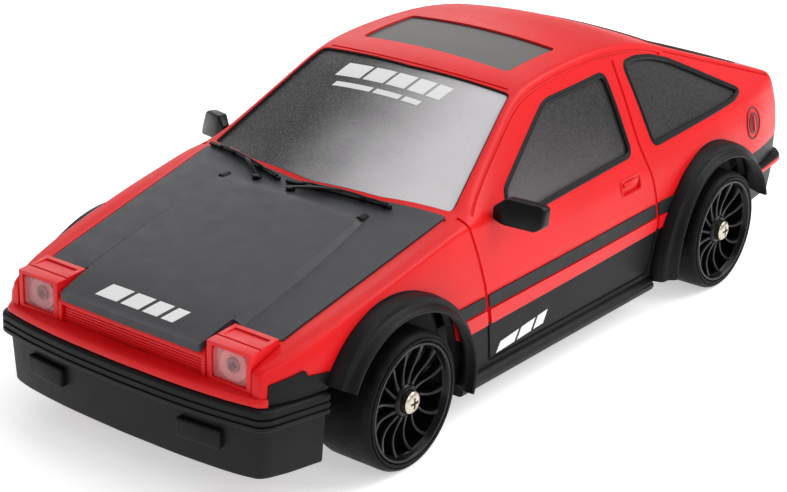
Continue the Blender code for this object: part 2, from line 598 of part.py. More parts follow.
def make_steering():
    """Servo, servo arm and the sliding tie rod with its three slots."""
    y = TIE_ROD_Y
    bar = box("tie_rod", (-KINGPIN_X, KINGPIN_X), (y - 1.0, y + 1.0), (18.0, 19.8), "tub",
              origin=(0, y, 18.9))
    slots = []
    for x in (-KINGPIN_X, SERVO_X, KINGPIN_X):
        join(bar, box("eye_%d" % x, (x - 1.65, x + 1.65), (y - 1.9, y + 1.9), (17.98, 19.82)))
        slots.append(box("eye_slot_%d" % x, (x - 0.9, x + 0.9), (y - 1.4, y + 1.4), (17, 21)))
    cut(bar, *slots)
    case = box("servo_case", (SERVO_X - 5.4, SERVO_X + 5.4), (SERVO_Y - 6.4, SERVO_Y + 15.6),
               (FLOOR_Z + FLOOR_T + GAP, 18.6), "tub")
    join(case, rod("servo_boss", "z", (SERVO_X, SERVO_Y), 2.6, 18.0, 19.7, "tub"))
    arm = rod("servo_arm", "z", (SERVO_X, SERVO_Y), 2.9, 20.1, 21.6, "nylon",
              origin=(SERVO_X, SERVO_Y, 20.8))
    join(arm, box("servo_arm_bar", (SERVO_X - 1.2, SERVO_X + 1.2), (y - 1.2, SERVO_Y - 1), (20.12, 21.58)),
         rod("servo_arm_pin", "z", (SERVO_X, y), 0.6, 17.6, 20.6, sides=8))


# ---- tub and what it holds -----------------------------------------------------------
def make_tub():
    """The moulded tub: floor, side walls, bearing plates, king pin arms and body posts."""
    half = [(11.5, -91), (11.5, -52), (19.4, -51), (19.4, -41), (26, -38), (26, 68), (16, 74), (16, 90)]
    tub = prism("chassis_tub", mirrored(half), "z", FLOOR_Z, 15.0, "tub")
    inner = [(10.1, -89.6), (10.1, -50.8), (18.2, -49.8), (18.2, -40), (24.9, -36.8), (24.9, 67.2),
             (14.6, 73), (14.6, 88.6)]
    cut(tub, prism("tub_hollow", mirrored(inner), "z", FLOOR_Z + FLOOR_T, 20))
    y, z = FRONT_AXLE_Y, AXLE_Z
    parts = []
    for side in (1, -1):
        low, high = sorted((side * 8.7, side * 11.2))
        parts.append(box(mirror_name("front_plate", side), (low, high), (y - 6, y + 6), (6.2, z + 7.7)))
        low, high = sorted((side * 10.6, side * (KINGPIN_X + 2.6)))
        for tag, bottom, top in (("upper", z + 6.2, z + 7.7), ("lower", z - 7.7, z - 6.2)):
            parts.append(box(mirror_name(tag + "_arm", side), (low, high), (y - 2.6, y + 2.6), (bottom, top)))
        low, high = sorted((side * 17, side * 19))
        parts.append(box(mirror_name("rear_plate", side), (low, high),
                         (REAR_AXLE_Y - 2.4, REAR_AXLE_Y + 4.0), (6.4, z + 4.2)))
        parts.append(rod(mirror_name("front_post", side), "z", (side * 7, -83), 2.2, 6.6, 28.4, sides=10))
        parts.append(rod(mirror_name("rear_post", side), "z", (side * 11, 80), 2.2, 6.6, 40.6, sides=10))
    for k, block_y in enumerate((-33, 26)):
        parts.append(box("shaft_block_%d" % k, (-2.6, 2.6), (block_y - 1.5, block_y + 1.5), (6.6, z + 2.9)))
    parts.append(box("rear_sump", (-9.4, 6.6), (REAR_AXLE_Y - 9.3, REAR_AXLE_Y + 9.3), (4.4, 7.0)))
    parts.append(box("front_sump", (-7.2, 0.2), (y - 8.2, y + 8.2), (4.9, 7.0)))
    join(tub, *parts)
    cutters = [box("rear_sump_cut", (-8.6, 5.8), (REAR_AXLE_Y - 8.3, REAR_AXLE_Y + 8.3), (5.2, 12)),
               box("front_sump_cut", (-6.4, -0.8), (y - 7.2, y + 7.2), (5.7, 12)),
               rod("shaft_bore", "y", (0, z), 1.6, -40, 35, sides=12),
               rod("rear_bore", "x", (REAR_AXLE_Y, z), 1.9, -25, 25, sides=12),
               rod("rear_wall_bore", "x", (REAR_AXLE_Y, z), 2.5, -30, -24, sides=12),
               rod("rear_wall_bore_b", "x", (REAR_AXLE_Y, z), 2.5, 24, 30, sides=12),
               rod("front_bore", "x", (y, z), 4.1, -13, 13, sides=16),
               box("battery_door_cut", (-24.0, -4.0), (-31, 19), (0, 9)),
               box("switch_cut", (12.0, 16.0), (33, 41), (0, 9))]
    for side in (1, -1):
        cutters.append(rod(mirror_name("kingpin_bore", side), "z", (side * KINGPIN_X, y), 1.4, 0, 30, sides=12))
    cut(tub, *cutters)


def make_contents():
    """Battery, its cover and screw, circuit board, switch slider and gearbox covers."""
    cover = box("battery_cover", (-23.7, -4.3), (-30.7, 18.7), (FLOOR_Z, FLOOR_Z + FLOOR_T), "tub")
    cut(cover, rod("cover_bore", "z", (-14, 15.5), 1.3, 0, 10, sides=10),
        rod("cover_sink", "z", (-14, 15.5), 2.3, 0, FLOOR_Z + 0.7, sides=12))
    screw = rod("battery_cover_screw", "z", (-14, 15.5), 0.95, FLOOR_Z + 0.3, FLOOR_Z + 4, sides=8)
    join(screw, rod("cover_screw_head", "z", (-14, 15.5), 1.9, FLOOR_Z - 0.3, FLOOR_Z + 0.4, sides=12))
    pack = [(-22.4, 7.8), (-5.6, 7.8), (-5.0, 9.0), (-5.0, 17.6), (-6.6, 19.2), (-21.4, 19.2),
            (-23.0, 17.6), (-23.0, 9.0)]
    prism("battery_pack", pack, "y", -30, 11, "cell")
    board = box("circuit_board", (4.6, 23.4), (-24, 31.4), (9.4, 10.6), "board")
    parts = [box("board_chip", (9, 16), (-8, -1), (10.3, 11.8)),
             box("board_radio", (18, 22), (4, 14), (10.3, 12.6)),
             box("board_driver", (7, 13), (14, 20), (10.3, 12.4)),
             rod("board_capacitor", "z", (18.5, -16), 2.6, 10.3, 17, sides=10)]
    join(board, *parts)
    slider = box("power_switch_slider", (11.2, 16.8), (35.4, 38.6), (7.7, 8.6), "nylon",
                 origin=(14, 37, 8))
    join(slider, box("slider_knob", (12.6, 15.4), (36, 38), (4.9, 8.0)))
    for name, axle_y, start, end, low, high in (
            ("rear_gearbox_cover", REAR_AXLE_Y, 8, 138, -9.4, 8.0),
            ("front_gearbox_cover", FRONT_AXLE_Y, 57, 172, -8.2, 8.2)):
        radii = (8.3, 9.3) if axle_y > 0 else (7.5, 8.5)
        steps = 11
        arc = []
        for radius, order in ((radii[1], range(steps)), (radii[0], reversed(range(steps)))):
            for k in order:
                angle = math.radians(start + (end - start) * k / (steps - 1))
                arc.append((axle_y + radius * math.cos(angle), AXLE_Z + radius * math.sin(angle)))
        prism(name, arc, "x", low, high, "tub")


def main():
    for old in list(bpy.data.objects):
        bpy.data.objects.remove(old, do_unlink=True)
    make_shell()
    make_glazing()
    make_bumpers()
    make_flares()
    make_skirts_mirrors_lamps()
    for side in (1, -1):
        make_wheel(mirror_name("front", side), side, FRONT_AXLE_Y)
        make_wheel(mirror_name("rear", side), side, REAR_AXLE_Y)
        make_front_corner(side)
    make_driveline()
    make_steering()
    make_tub()
    make_contents()


main()
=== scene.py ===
"""Looks of the remote control drift car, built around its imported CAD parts.

Lengths are in millimetres until a mesh is made. The car's front faces -Y, its left side is +X
and it stands on Z = 0.
"""

import json
from math import ceil, copysign, cos, degrees, hypot, pi, radians, sin, sqrt

import bmesh
import bpy
import numpy as np
from mathutils import Matrix, Vector
from mathutils.geometry import delaunay_2d_cdt

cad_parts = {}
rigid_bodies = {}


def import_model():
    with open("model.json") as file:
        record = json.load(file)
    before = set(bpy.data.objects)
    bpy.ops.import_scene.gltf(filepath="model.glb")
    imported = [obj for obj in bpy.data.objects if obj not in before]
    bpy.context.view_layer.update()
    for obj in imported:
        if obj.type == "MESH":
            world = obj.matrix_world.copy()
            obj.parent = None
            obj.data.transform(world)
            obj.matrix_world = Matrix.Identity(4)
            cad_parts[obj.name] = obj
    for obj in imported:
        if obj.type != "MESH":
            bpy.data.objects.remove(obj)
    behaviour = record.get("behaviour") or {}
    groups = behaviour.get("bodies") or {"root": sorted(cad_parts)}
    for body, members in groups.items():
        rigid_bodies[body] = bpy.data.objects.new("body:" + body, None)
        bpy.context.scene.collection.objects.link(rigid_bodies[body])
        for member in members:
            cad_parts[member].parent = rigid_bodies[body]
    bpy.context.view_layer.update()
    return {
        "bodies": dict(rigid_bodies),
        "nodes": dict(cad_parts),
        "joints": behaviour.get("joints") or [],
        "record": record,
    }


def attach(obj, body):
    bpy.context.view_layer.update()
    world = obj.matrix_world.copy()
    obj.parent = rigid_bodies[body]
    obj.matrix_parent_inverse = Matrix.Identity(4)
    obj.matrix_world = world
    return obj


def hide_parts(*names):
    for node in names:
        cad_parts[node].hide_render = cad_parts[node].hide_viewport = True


MM = 0.001
SIDES = (("left", 1), ("right", -1))

# ---- body lines: (y, value) pairs, straight between the points before rounding ----
TOP_Z = [(-97, 26.4), (-86, 30.4), (-47, 40.5), (-44.6, 41.1), (-12.5, 58.2), (-2, 60.3), (12, 61.1),
         (26, 60.7), (38, 58.8), (47, 55.9), (88, 41.5), (92.6, 40.5)]
EDGE_X = [(-97, 28.3), (-85, 28.9), (-39.5, 30.9), (-37.3, 31.3), (-10.2, 24.7), (0, 24.4),
          (47, 23.0), (70, 25.2), (92.6, 27.8)]
EDGE_Z = [(-97, 26.4), (-85, 30.2), (-39.5, 40.5), (-37.3, 41.0), (-10.2, 57.4), (0, 58.9),
          (14, 59.5), (26, 59.0), (38, 57.1), (47, 54.4), (91, 40.1), (92.6, 39.5)]
SHOULDER_X = [(-97, 29.4), (-93.4, 30.4), (-90, 31.8), (-86, 32.9), (-75, 33.9), (-58, 34.5),
              (-32, 34.5), (30, 33.8), (60, 33.4), (80, 32.0), (92.6, 29.6)]
SHOULDER_Z = [(-97, 25.2), (-92, 27.7), (-75, 32.6), (-58, 36.3), (-40, 39.7), (-32, 38.9),
              (-24, 37.7), (-5, 36.4), (30, 36.6), (75, 38.0), (92.6, 37.2)]
SWAGE_X = [(-97, 30.0), (-93.4, 31.2), (-90, 32.8), (-86, 34.0), (-80, 35.2), (-60, 35.9), (0, 36.2),
           (60, 36.0), (80, 34.6), (92.6, 31.6)]
SWAGE_Z = [(-97, 23.0), (-60, 26.5), (92.6, 27.0)]
SILL_INSET = 0.8
SHELL_BOTTOM_Z = 8.0
SHELL_WALL = 1.6
SHELL_FRONT_Y = -93.4
SHELL_BACK_Y = 92.6
TOP_FRACTIONS = (0, 0.12, 0.24, 0.36, 0.48, 0.6, 0.72, 0.84, 0.93, 1)

# ---- openings: (y, z) on the sides, (x, y) seen from above ----
DOOR_WINDOW = [(-23.5, 36.4), (22.4, 38.0), (20.7, 54.8), (-2.5, 54.2), (-23.9, 41.9)]
QUARTER_WINDOW = [(31.6, 37.7), (69.0, 39.0), (73.4, 40.1), (57.9, 47.4), (49, 51.4), (42, 53.6),
                  (35, 54.9), (29.2, 54.9)]
WINDSCREEN = [(-30.3, -37.7), (-16, -41.8), (0, -43.5), (16, -41.8), (30.3, -37.7), (23.8, -10.4),
              (0, -11.6), (-23.8, -10.4)]
HATCH_WINDOW = [(-20.6, 50.5), (20.6, 50.5), (24.2, 83.5), (-24.2, 83.5)]
SUNROOF = [(-18.6, -4.2), (18.6, -4.2), (18.6, 13.2), (-18.6, 13.2)]
BONNET_HALF = [(0, -44.6), (16, -42.9), (30.1, -39.5), (28.5, -85.0), (17.8, -85.2), (17.2, -93.8),
               (0, -94.1)]

# ---- wheels and arches ----
FRONT_AXLE_Y = -61.75
REAR_AXLE_Y = 53.75
AXLE_Z = 13.5
ARCH_R = 19.3
ARCH_INNER_X = 31.0
FLARE_X = 41.0
FLARE_LIP_R = 16.5
FLARE_LIP_SPREAD = 2.2
FLARE_EDGE_R = 19.6
FLARE_EDGE_SPREAD = 1.8
FLARE_TUCK = 1.2
SPOKES = 14
ROUND = 96


# ---- body surface ----
def line(table, y, reach=7.0):
    """A table's value at y, with each corner of its line rounded over reach millimetres."""
    last = len(table) - 1
    for k in range(last):
        (y0, v0), (y1, v1) = table[k], table[k + 1]
        if y <= y1 or k == last - 1:
            slope = (v1 - v0) / (y1 - y0)
            found = v0 + slope * (y - y0)
            for corner, other in ((k, k - 1), (k + 1, k + 2)):
                if 0 < corner < last:
                    yc, vc = table[corner]
                    far_y, far_v = table[other]
                    near = min(reach, abs(y1 - y0) / 2, abs(far_y - yc) / 2)
                    if abs(y - yc) < near:
                        turn = (far_v - vc) / (far_y - yc) - slope
                        toward = 1 if other > corner else -1
                        inside = near + toward * (y - yc)
                        found += toward * turn * inside ** 2 / (4 * near)
            return found
    return table[-1][1]


def corner_curve(before, corner, after, radius, turns):
    """Points round a corner of a polyline, from radius before it to radius after it."""
    back, on = before - corner, after - corner
    reach = min(radius, 0.45 * np.linalg.norm(back), 0.45 * np.linalg.norm(on))
    start = corner + back / np.linalg.norm(back) * reach
    end = corner + on / np.linalg.norm(on) * reach
    return [start * (1 - t) ** 2 + corner * 2 * t * (1 - t) + end * t * t for t in np.linspace(0, 1, turns)]


def soften(points, radii, splits):
    """A polyline with its corners rounded and its straight parts divided."""
    points = [np.array(p, float) for p in points]
    out = [points[0]]
    before = points[0]
    for k in range(1, len(points)):
        curve = [points[k]]
        if k < len(points) - 1 and radii[k] > 0:
            curve = corner_curve(points[k - 1], points[k], points[k + 1], radii[k], 5)
        for j in range(1, splits[k - 1] + 1):
            t = j / (splits[k - 1] + 1)
            out.append(before * (1 - t) + curve[0] * t)
        out.extend(curve)
        before = curve[-1]
    return np.array(out)


def half_section(y, depth=0.0):
    """Half of the body's outline at y, from the middle of the top to the sill."""
    crease = 1.2 if y > 84 or -52 < y < -30 else 7.0
    top = line(TOP_Z, y, crease) - depth
    edge_x, edge_z = line(EDGE_X, y, crease), line(EDGE_Z, y, crease)
    shoulder_x, shoulder_z = line(SHOULDER_X, y), line(SHOULDER_Z, y)
    steep = (edge_z - shoulder_z) / hypot(shoulder_x - edge_x, edge_z - shoulder_z)
    edge = (edge_x - 0.8 * depth * steep, edge_z - depth)
    shoulder = (shoulder_x - depth, shoulder_z - depth * (1 - steep))
    swage = (line(SWAGE_X, y) - depth, line(SWAGE_Z, y))
    sill = (swage[0] - SILL_INSET, SHELL_BOTTOM_Z)
    points = [(edge[0] * f, edge[1] + (top - edge[1]) * (1 - f * f)) for f in TOP_FRACTIONS]
    points.append(((edge[0] + shoulder[0]) / 2 + 0.3, (edge[1] + shoulder[1]) / 2 + 0.2))
    points.append(shoulder)
    points.append((shoulder[0] * 0.3 + swage[0] * 0.7, shoulder[1] * 0.55 + swage[1] * 0.45))
    points.append(swage)
    points.append((swage[0] - SILL_INSET * 0.3, (swage[1] + sill[1]) / 2))
    points.append(sill)
    radii = [0] * (len(TOP_FRACTIONS) - 1) + [1.5, 3.0, 1.0, 3.0, 0.8, 3.0, 0]
    splits = [0] * (len(TOP_FRACTIONS) - 1) + [4, 4, 3, 3, 4, 4]
    return soften(points, radii, splits)


SAMPLE_STEP = 0.5
SAMPLE_Y = np.arange(SHELL_FRONT_Y, SHELL_BACK_Y + SAMPLE_STEP / 2, SAMPLE_STEP)
SAMPLES = np.array([half_section(y) for y in SAMPLE_Y])
SHOULDER_ROW = len(TOP_FRACTIONS) + 16


def section_at(y):
    place = min(max((y - SHELL_FRONT_Y) / SAMPLE_STEP, 0), len(SAMPLE_Y) - 1.001)
    row = int(place)
    t = place - row
    return SAMPLES[row] * (1 - t) + SAMPLES[row + 1] * t


def top_z(x, y):
    """Height of the bonnet, roof or hatch skin at a point seen from above."""
    rows = section_at(y)[:SHOULDER_ROW]
    return float(np.interp(abs(x), rows[:, 0], rows[:, 1]))


def side_x(y, z):
    """Half width of the body's side at a height."""
    rows = section_at(y)[len(TOP_FRACTIONS) - 1:][::-1]
    return float(np.interp(z, rows[:, 1], rows[:, 0]))


def on_top(x, y, lift=0.0):
    step = 0.4
    slope_x = (top_z(x + step, y) - top_z(x - step, y)) / (2 * step)
    slope_y = (top_z(x, y + step) - top_z(x, y - step)) / (2 * step)
    normal = np.array([-slope_x, -slope_y, 1.0])
    normal /= np.linalg.norm(normal)
    return np.array([x, y, top_z(x, y)]) + normal * lift, normal


def on_side(y, z, side, lift=0.0):
    step = 0.4
    slope_y = (side_x(y + step, z) - side_x(y - step, z)) / (2 * step)
    slope_z = (side_x(y, z + step) - side_x(y, z - step)) / (2 * step)
    normal = np.array([1.0, -slope_y, -slope_z])
    normal /= np.linalg.norm(normal)
    place = np.array([side_x(y, z), y, z]) + normal * lift
    return place * (side, 1, 1), normal * (side, 1, 1)


# ---- mesh making ----
def make(name, verts, faces, material, smooth=35):
    """A mesh object from millimetre points, with its normals made to point out."""
    mesh = bpy.data.meshes.new(name)
    mesh.from_pydata([tuple(float(c) * MM for c in v) for v in verts], [], faces)
    bm = bmesh.new()
    bm.from_mesh(mesh)
    bmesh.ops.recalc_face_normals(bm, faces=bm.faces)
    bm.to_mesh(mesh)
    bm.free()
    piece = bpy.data.objects.new(name, mesh)
    bpy.context.scene.collection.objects.link(piece)
    if material:
        mesh.materials.append(FINISHES[material])
    soft_edges(piece, smooth)
    return piece


def soft_edges(piece, angle):
    piece.data.shade_smooth()
    piece.data.set_sharp_from_angle(angle=radians(angle))


def loft(name, rings, material, closed=False, smooth=35):
    """A skin over rings of equal length, capped at both ends unless it closes on itself."""
    count = len(rings[0])
    verts = [tuple(p) for ring in rings for p in ring]
    faces = []
    spans = len(rings) if closed else len(rings) - 1
    for k in range(spans):
        a, b = k * count, ((k + 1) % len(rings)) * count
        for j in range(count):
            i = (j + 1) % count
            faces.append((a + j, a + i, b + i, b + j))
    if not closed:
        faces.append(tuple(range(count)))
        faces.append(tuple(range(len(verts) - count, len(verts))))
    return make(name, verts, faces, material, smooth)


def about_axle(axle_y, radius, angle):
    """The (y, z) of a point on a circle round an axle line; angle 0 is at the top."""
    return axle_y + radius * sin(angle), AXLE_Z + radius * cos(angle)


def lathe(name, profile, side, y, material, sides=ROUND, smooth=30):
    """A ring turned about an axle line; the profile is a closed loop of (x, radius)."""
    rings = []
    for k in range(sides):
        turn = 2 * pi * k / sides
        rings.append([(side * x, *about_axle(y, r, turn)) for x, r in profile])
    return loft(name, rings, material, closed=True, smooth=smooth)


def box(name, low, high, material=None, side=1):
    """A box from corner to corner, given as it stands on the left side of the car."""
    x0, x1 = sorted((side * low[0], side * high[0]))
    z0, z1 = low[2], high[2]
    rings = [[(x0, y, z0), (x1, y, z0), (x1, y, z1), (x0, y, z1)] for y in (low[1], high[1])]
    return loft(name, rings, material)


def prism_x(name, outline, x0, x1, material=None, side=1):
    """An extrusion along X of a (y, z) outline, given as it stands on the left side of the car."""
    return loft(name, [[(x, y, z) for y, z in outline] for x in sorted((side * x0, side * x1))], material)


def prism_z(name, outline, z0, z1):
    return loft(name, [[(x, y, z) for x, y in outline] for z in (z0, z1)], None)


def round_outline(outline, radius, turns=6):
    """A closed outline with rounded corners."""
    points = [np.array(p, float) for p in outline]
    out = []
    for k, corner in enumerate(points):
        out += corner_curve(points[k - 1], corner, points[(k + 1) % len(points)], radius, turns)
    return out


def divided(path, step, closed):
    """A path with points no further apart than step."""
    points = [np.array(p, float) for p in path]
    out = []
    pairs = len(points) if closed else len(points) - 1
    for k in range(pairs):
        a, b = points[k], points[(k + 1) % len(points)]
        cuts = max(1, ceil(np.linalg.norm(b - a) / step))
        out.extend(a + (b - a) * j / cuts for j in range(cuts))
    if not closed:
        out.append(points[-1])
    return out


def inset(outline, amount):
    """A closed outline moved inwards along its own normals."""
    points = [np.array(p, float) for p in outline]
    area = sum(a[0] * b[1] - b[0] * a[1] for a, b in zip(points, points[1:] + points[:1]))
    turn = 1 if area > 0 else -1
    out = []
    for k, point in enumerate(points):
        along = points[(k + 1) % len(points)] - points[k - 1]
        along /= max(np.linalg.norm(along), 1e-9)
        out.append(point + np.array([-along[1], along[0]]) * turn * amount)
    return out


def patch(name, outline, place, material, spacing=1.6, thickness=0.6, smooth=35, creases=()):
    """A plate over a flat outline whose points are placed on the body by place(u, v).

    creases are polylines inside the outline that the plate's triangles follow."""
    edge = divided(outline, spacing, True)
    low, high = np.min(edge, axis=0), np.max(edge, axis=0)
    inner = inset(edge, spacing * 0.6)
    points = [Vector(p) for p in edge]
    for u in np.arange(low[0] + spacing / 2, high[0], spacing):
        for v in np.arange(low[1] + spacing / 2, high[1], spacing):
            if contains(inner, (u, v)):
                points.append(Vector((u, v)))
    edges = []
    for crease in creases:
        first = len(points)
        points += [Vector(p) for p in divided(crease, spacing, False)]
        edges += [(k, k + 1) for k in range(first, len(points) - 1)]
    verts, _, faces, *_ = delaunay_2d_cdt(points, edges, [list(range(len(edge)))], 1, 1e-5)
    placed = [place(v[0], v[1]) for v in verts]
    top = [p for p, _ in placed]
    under = [p - n * thickness for p, n in placed]
    count = len(top)
    made = [tuple(f) for f in faces] + [tuple(i + count for i in reversed(f)) for f in faces]
    seen = {}
    for f in faces:
        for a, b in zip(f, list(f[1:]) + [f[0]]):
            seen[(a, b)] = True
    for a, b in seen:
        if (b, a) not in seen:
            made.append((a, b, b + count, a + count))
    return make(name, top + under, made, material, smooth)


def contains(outline, point):
    inside = False
    x, y = point
    for k, b in enumerate(outline):
        a = outline[k - 1]
        if (a[1] > y) != (b[1] > y) and x < (b[0] - a[0]) * (y - a[1]) / (b[1] - a[1]) + a[0]:
            inside = not inside
    return inside


def sweep(name, path, profile, material, closed=False):
    """A profile of (across, out) points carried along a path of (point, outward normal) pairs."""
    points = [np.array(p, float) for p, _ in path]
    rings = []
    for k, (point, normal) in enumerate(path):
        if closed:
            along = points[(k + 1) % len(points)] - points[k - 1]
        else:
            along = points[min(k + 1, len(points) - 1)] - points[max(k - 1, 0)]
        along = along / max(np.linalg.norm(along), 1e-9)
        across = np.cross(along, normal)
        across = across / max(np.linalg.norm(across), 1e-9)
        rings.append([np.array(point) + across * u + np.array(normal) * v for u, v in profile])
    return loft(name, rings, material, closed=closed, smooth=40)


def ellipse(width, height, sides):
    return [(width * cos(2 * pi * k / sides), height * sin(2 * pi * k / sides)) for k in range(sides)]


def apply_modifiers(piece):
    """Turns a piece's modifiers into its own mesh."""
    graph = bpy.context.evaluated_depsgraph_get()
    graph.update()
    mesh = bpy.data.meshes.new_from_object(piece.evaluated_get(graph))
    piece.modifiers.clear()
    piece.data = mesh


def carve(piece, *tools):
    """Cuts closed tools out of a piece and removes them."""
    group = bpy.data.collections.new("carving")
    for tool in tools:
        group.objects.link(tool)
    modifier = piece.modifiers.new("carve", "BOOLEAN")
    modifier.operation = "DIFFERENCE"
    modifier.operand_type = "COLLECTION"
    modifier.collection = group
    modifier.solver = "EXACT"
    apply_modifiers(piece)
    for tool in tools:
        bpy.data.objects.remove(tool)
    bpy.data.collections.remove(group)
    return piece


def bevel(piece, width, segments=3, angle=30):
    modifier = piece.modifiers.new("bevel", "BEVEL")
    modifier.width = width * MM
    modifier.segments = segments
    modifier.limit_method = "ANGLE"
    modifier.angle_limit = radians(angle)
    modifier.harden_normals = False
    apply_modifiers(piece)
    soft_edges(piece, 40)
    return piece


def join(first, *others):
    """Moves the other pieces' meshes, with their materials, into the first piece."""
    with bpy.context.temp_override(active_object=first, selected_editable_objects=[first, *others]):
        bpy.ops.object.join()
    return first


def stand_in(piece, slot, *nodes, body="chassis"):
    """Rides a piece on its body in place of its CAD nodes; the slot argument is not used."""
    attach(piece, body)
    if nodes:
        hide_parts(*nodes)


# ---- materials ----
def linear(colour):
    """Linear light values of an sRGB colour given as 0 to 255."""
    return tuple(((c / 255 + 0.055) / 1.055) ** 2.4 if c > 10 else c / 255 / 12.92 for c in colour) + (1.0,)


class Finish:
    """A Principled material, with short calls for the nodes that feed it."""

    def __init__(self, name, colour, roughness, metallic=0.0, coat=0.0, shine=0.5):
        self.material = bpy.data.materials.new(name)
        self.material.use_nodes = True
        self.tree = self.material.node_tree
        self.base = linear(colour)
        for key, value in (("Base Color", self.base), ("Roughness", roughness), ("Metallic", metallic),
                           ("Coat Weight", coat), ("Coat Roughness", 0.08), ("Specular IOR Level", shine)):
            self.set(key, value)
        place = self.node("TexCoord", "Object", {})
        self.place = self.node("VectorMath", "Vector", {0: place, "Scale": 1 / MM}, operation="SCALE")
        self.x, self.y, self.z = (self.node("SeparateXYZ", axis, {0: self.place}) for axis in "XYZ")

    def feed(self, socket, value):
        """Gives a socket a value, or links another socket to it."""
        if hasattr(value, "is_output"):
            self.tree.links.new(value, socket)
        else:
            socket.default_value = value

    def set(self, key, value):
        self.feed(self.tree.nodes["Principled BSDF"].inputs[key], value)

    def node(self, kind, output, inputs, **settings):
        """One output of a new node with these settings and inputs."""
        node = self.tree.nodes.new("ShaderNode" + kind)
        for key, value in settings.items():
            setattr(node, key, value)
        for key, value in inputs.items():
            self.feed(node.inputs[key], value)
        return node.outputs[output]

    def math(self, operation, *values):
        return self.node("Math", 0, dict(enumerate(values)), operation=operation)

    def noise(self, scale, detail=2.0, roughness=0.5, stretch=None):
        """Noise with about scale cells in a millimetre."""
        place = self.place
        if stretch:
            place = self.node("Mapping", 0, {"Vector": place, "Scale": stretch})
        return self.node("TexNoise", "Fac", {"Vector": place, "Scale": scale, "Detail": detail,
                                             "Roughness": roughness})

    def cells(self, scale):
        """A random grey value for each small cell."""
        colour = self.node("TexVoronoi", "Color", {"Vector": self.place, "Scale": scale})
        return self.node("SeparateColor", 0, {0: colour})

    def span(self, value, low, high, to_low=0.0, to_high=1.0, smooth=False):
        return self.node("MapRange", 0, {0: value, 1: low, 2: high, 3: to_low, 4: to_high},
                         interpolation_type="SMOOTHSTEP" if smooth else "LINEAR")

    def mix(self, factor, first, second):
        """first where factor is 0 and second where it is 1; each is a colour or a socket."""
        return self.node("Mix", 2, {"Factor": factor, 6: first, 7: second}, data_type="RGBA")

    def colour(self, socket):
        self.set("Base Color", socket)

    def rough(self, socket):
        self.set("Roughness", socket)

    def speckle(self, scale, detail, low, high):
        """Roughness that wanders between low and high."""
        self.rough(self.span(self.noise(scale, detail), 0.25, 0.75, low, high))

    def grain(self, height, distance):
        """Bump whose full height is distance millimetres."""
        self.set("Normal", self.node("Bump", "Normal", {"Height": height, "Distance": distance * MM}))

    def below(self, height, y0, z0, y1, z1):
        """1 where height is under the line through (y0, z0) and (y1, z1), else 0."""
        slope = (z1 - z0) / (y1 - y0)
        level = self.math("MULTIPLY_ADD", self.y, slope, z0 - slope * y0)
        return self.math("LESS_THAN", height, level)

    def between(self, value, low, high):
        return self.math("MULTIPLY", self.math("GREATER_THAN", value, low),
                         self.math("LESS_THAN", value, high))


def plastic(name, colour, roughness, grain, coat, variation, shine):
    """Moulded plastic: fine grain, slow colour and gloss variation."""
    finish = Finish(name, colour, roughness, coat=coat, shine=shine)
    shade = finish.span(finish.noise(0.06, 3), 0.3, 0.7)
    darker = tuple(c * (1 - variation) for c in finish.base[:3]) + (1.0,)
    lighter = tuple(min(c * (1 + variation) + 0.001, 1) for c in finish.base[:3]) + (1.0,)
    finish.colour(finish.mix(shade, darker, lighter))
    finish.speckle(0.35, 4, roughness - 0.05, roughness + 0.06)
    finish.grain(finish.noise(5.0, 3), grain)
    return finish.material


def body_paint():
    """Red satin body colour, black on the bottom of the sides and at the bottom corners, and black painted
    shade on the shell inside the wheel arches.
    """
    finish = Finish("body_red_satin", (222, 20, 26), 0.37, shine=0.24)
    shade = finish.span(finish.noise(0.05, 3), 0.3, 0.7)
    red = finish.mix(shade, linear((218, 12, 18)), linear((227, 16, 22)))
    black = finish.mix(shade, linear((28, 28, 30)), linear((33, 33, 35)))
    width = finish.math("ABSOLUTE", finish.x)
    wide = finish.math("GREATER_THAN", width, 29.5)
    door = finish.math("MULTIPLY", finish.below(finish.z, -42, 18.0, 34, 19.8),
                       finish.between(finish.y, -79, 70))
    nose = finish.math("MULTIPLY", finish.math("LESS_THAN", finish.z, 22.4),
                       finish.math("LESS_THAN", finish.y, -78))
    side = finish.math("MULTIPLY", wide, finish.math("MAXIMUM", door, nose))
    tail = finish.math("MULTIPLY", finish.math("LESS_THAN", finish.z, 25.0),
                       finish.math("GREATER_THAN", finish.y, 62))
    black_and_arch_shade = finish.math("MAXIMUM", side, tail)
    # painted shade: inside each wheel arch the shell is coloured black for the shade that falls there
    for axle_y in (FRONT_AXLE_Y, REAR_AXLE_Y):
        ahead = finish.math("SUBTRACT", finish.y, axle_y)
        above = finish.math("SUBTRACT", finish.z, AXLE_Z)
        squares = finish.math("MULTIPLY_ADD", above, above, finish.math("MULTIPLY", ahead, ahead))
        arch_painted_shade = finish.math("MULTIPLY", wide, finish.math("LESS_THAN", squares, (ARCH_R + 0.6) ** 2))
        black_and_arch_shade = finish.math("MAXIMUM", black_and_arch_shade, arch_painted_shade)
    finish.colour(finish.mix(black_and_arch_shade, red, black))
    finish.set("Specular IOR Level", finish.span(black_and_arch_shade, 0, 1, 0.24, 0.07))
    finish.speckle(0.4, 4, 0.34, 0.43)
    finish.grain(finish.noise(4.0, 3), 0.008)
    return finish.material


def bonnet_paint():
    """Matt charcoal, with a painted sheen that makes it a little paler toward the windscreen."""
    finish = Finish("bonnet_charcoal_matt", (52, 52, 56), 0.46, shine=0.4)
    # painted sheen: the base colour grows paler from the nose toward the windscreen, standing in for
    # reflected light
    painted_sheen_fade = finish.span(finish.y, -94, -40)
    base = finish.mix(painted_sheen_fade, linear((50, 50, 54)), linear((58, 59, 63)))
    speck = finish.span(finish.noise(2.2, 5), 0.4, 0.7)
    finish.colour(finish.mix(finish.math("MULTIPLY", speck, 0.3), base, linear((68, 69, 74))))
    finish.speckle(0.3, 4, 0.44, 0.56)
    finish.grain(finish.noise(6.0, 3), 0.004)
    return finish.material


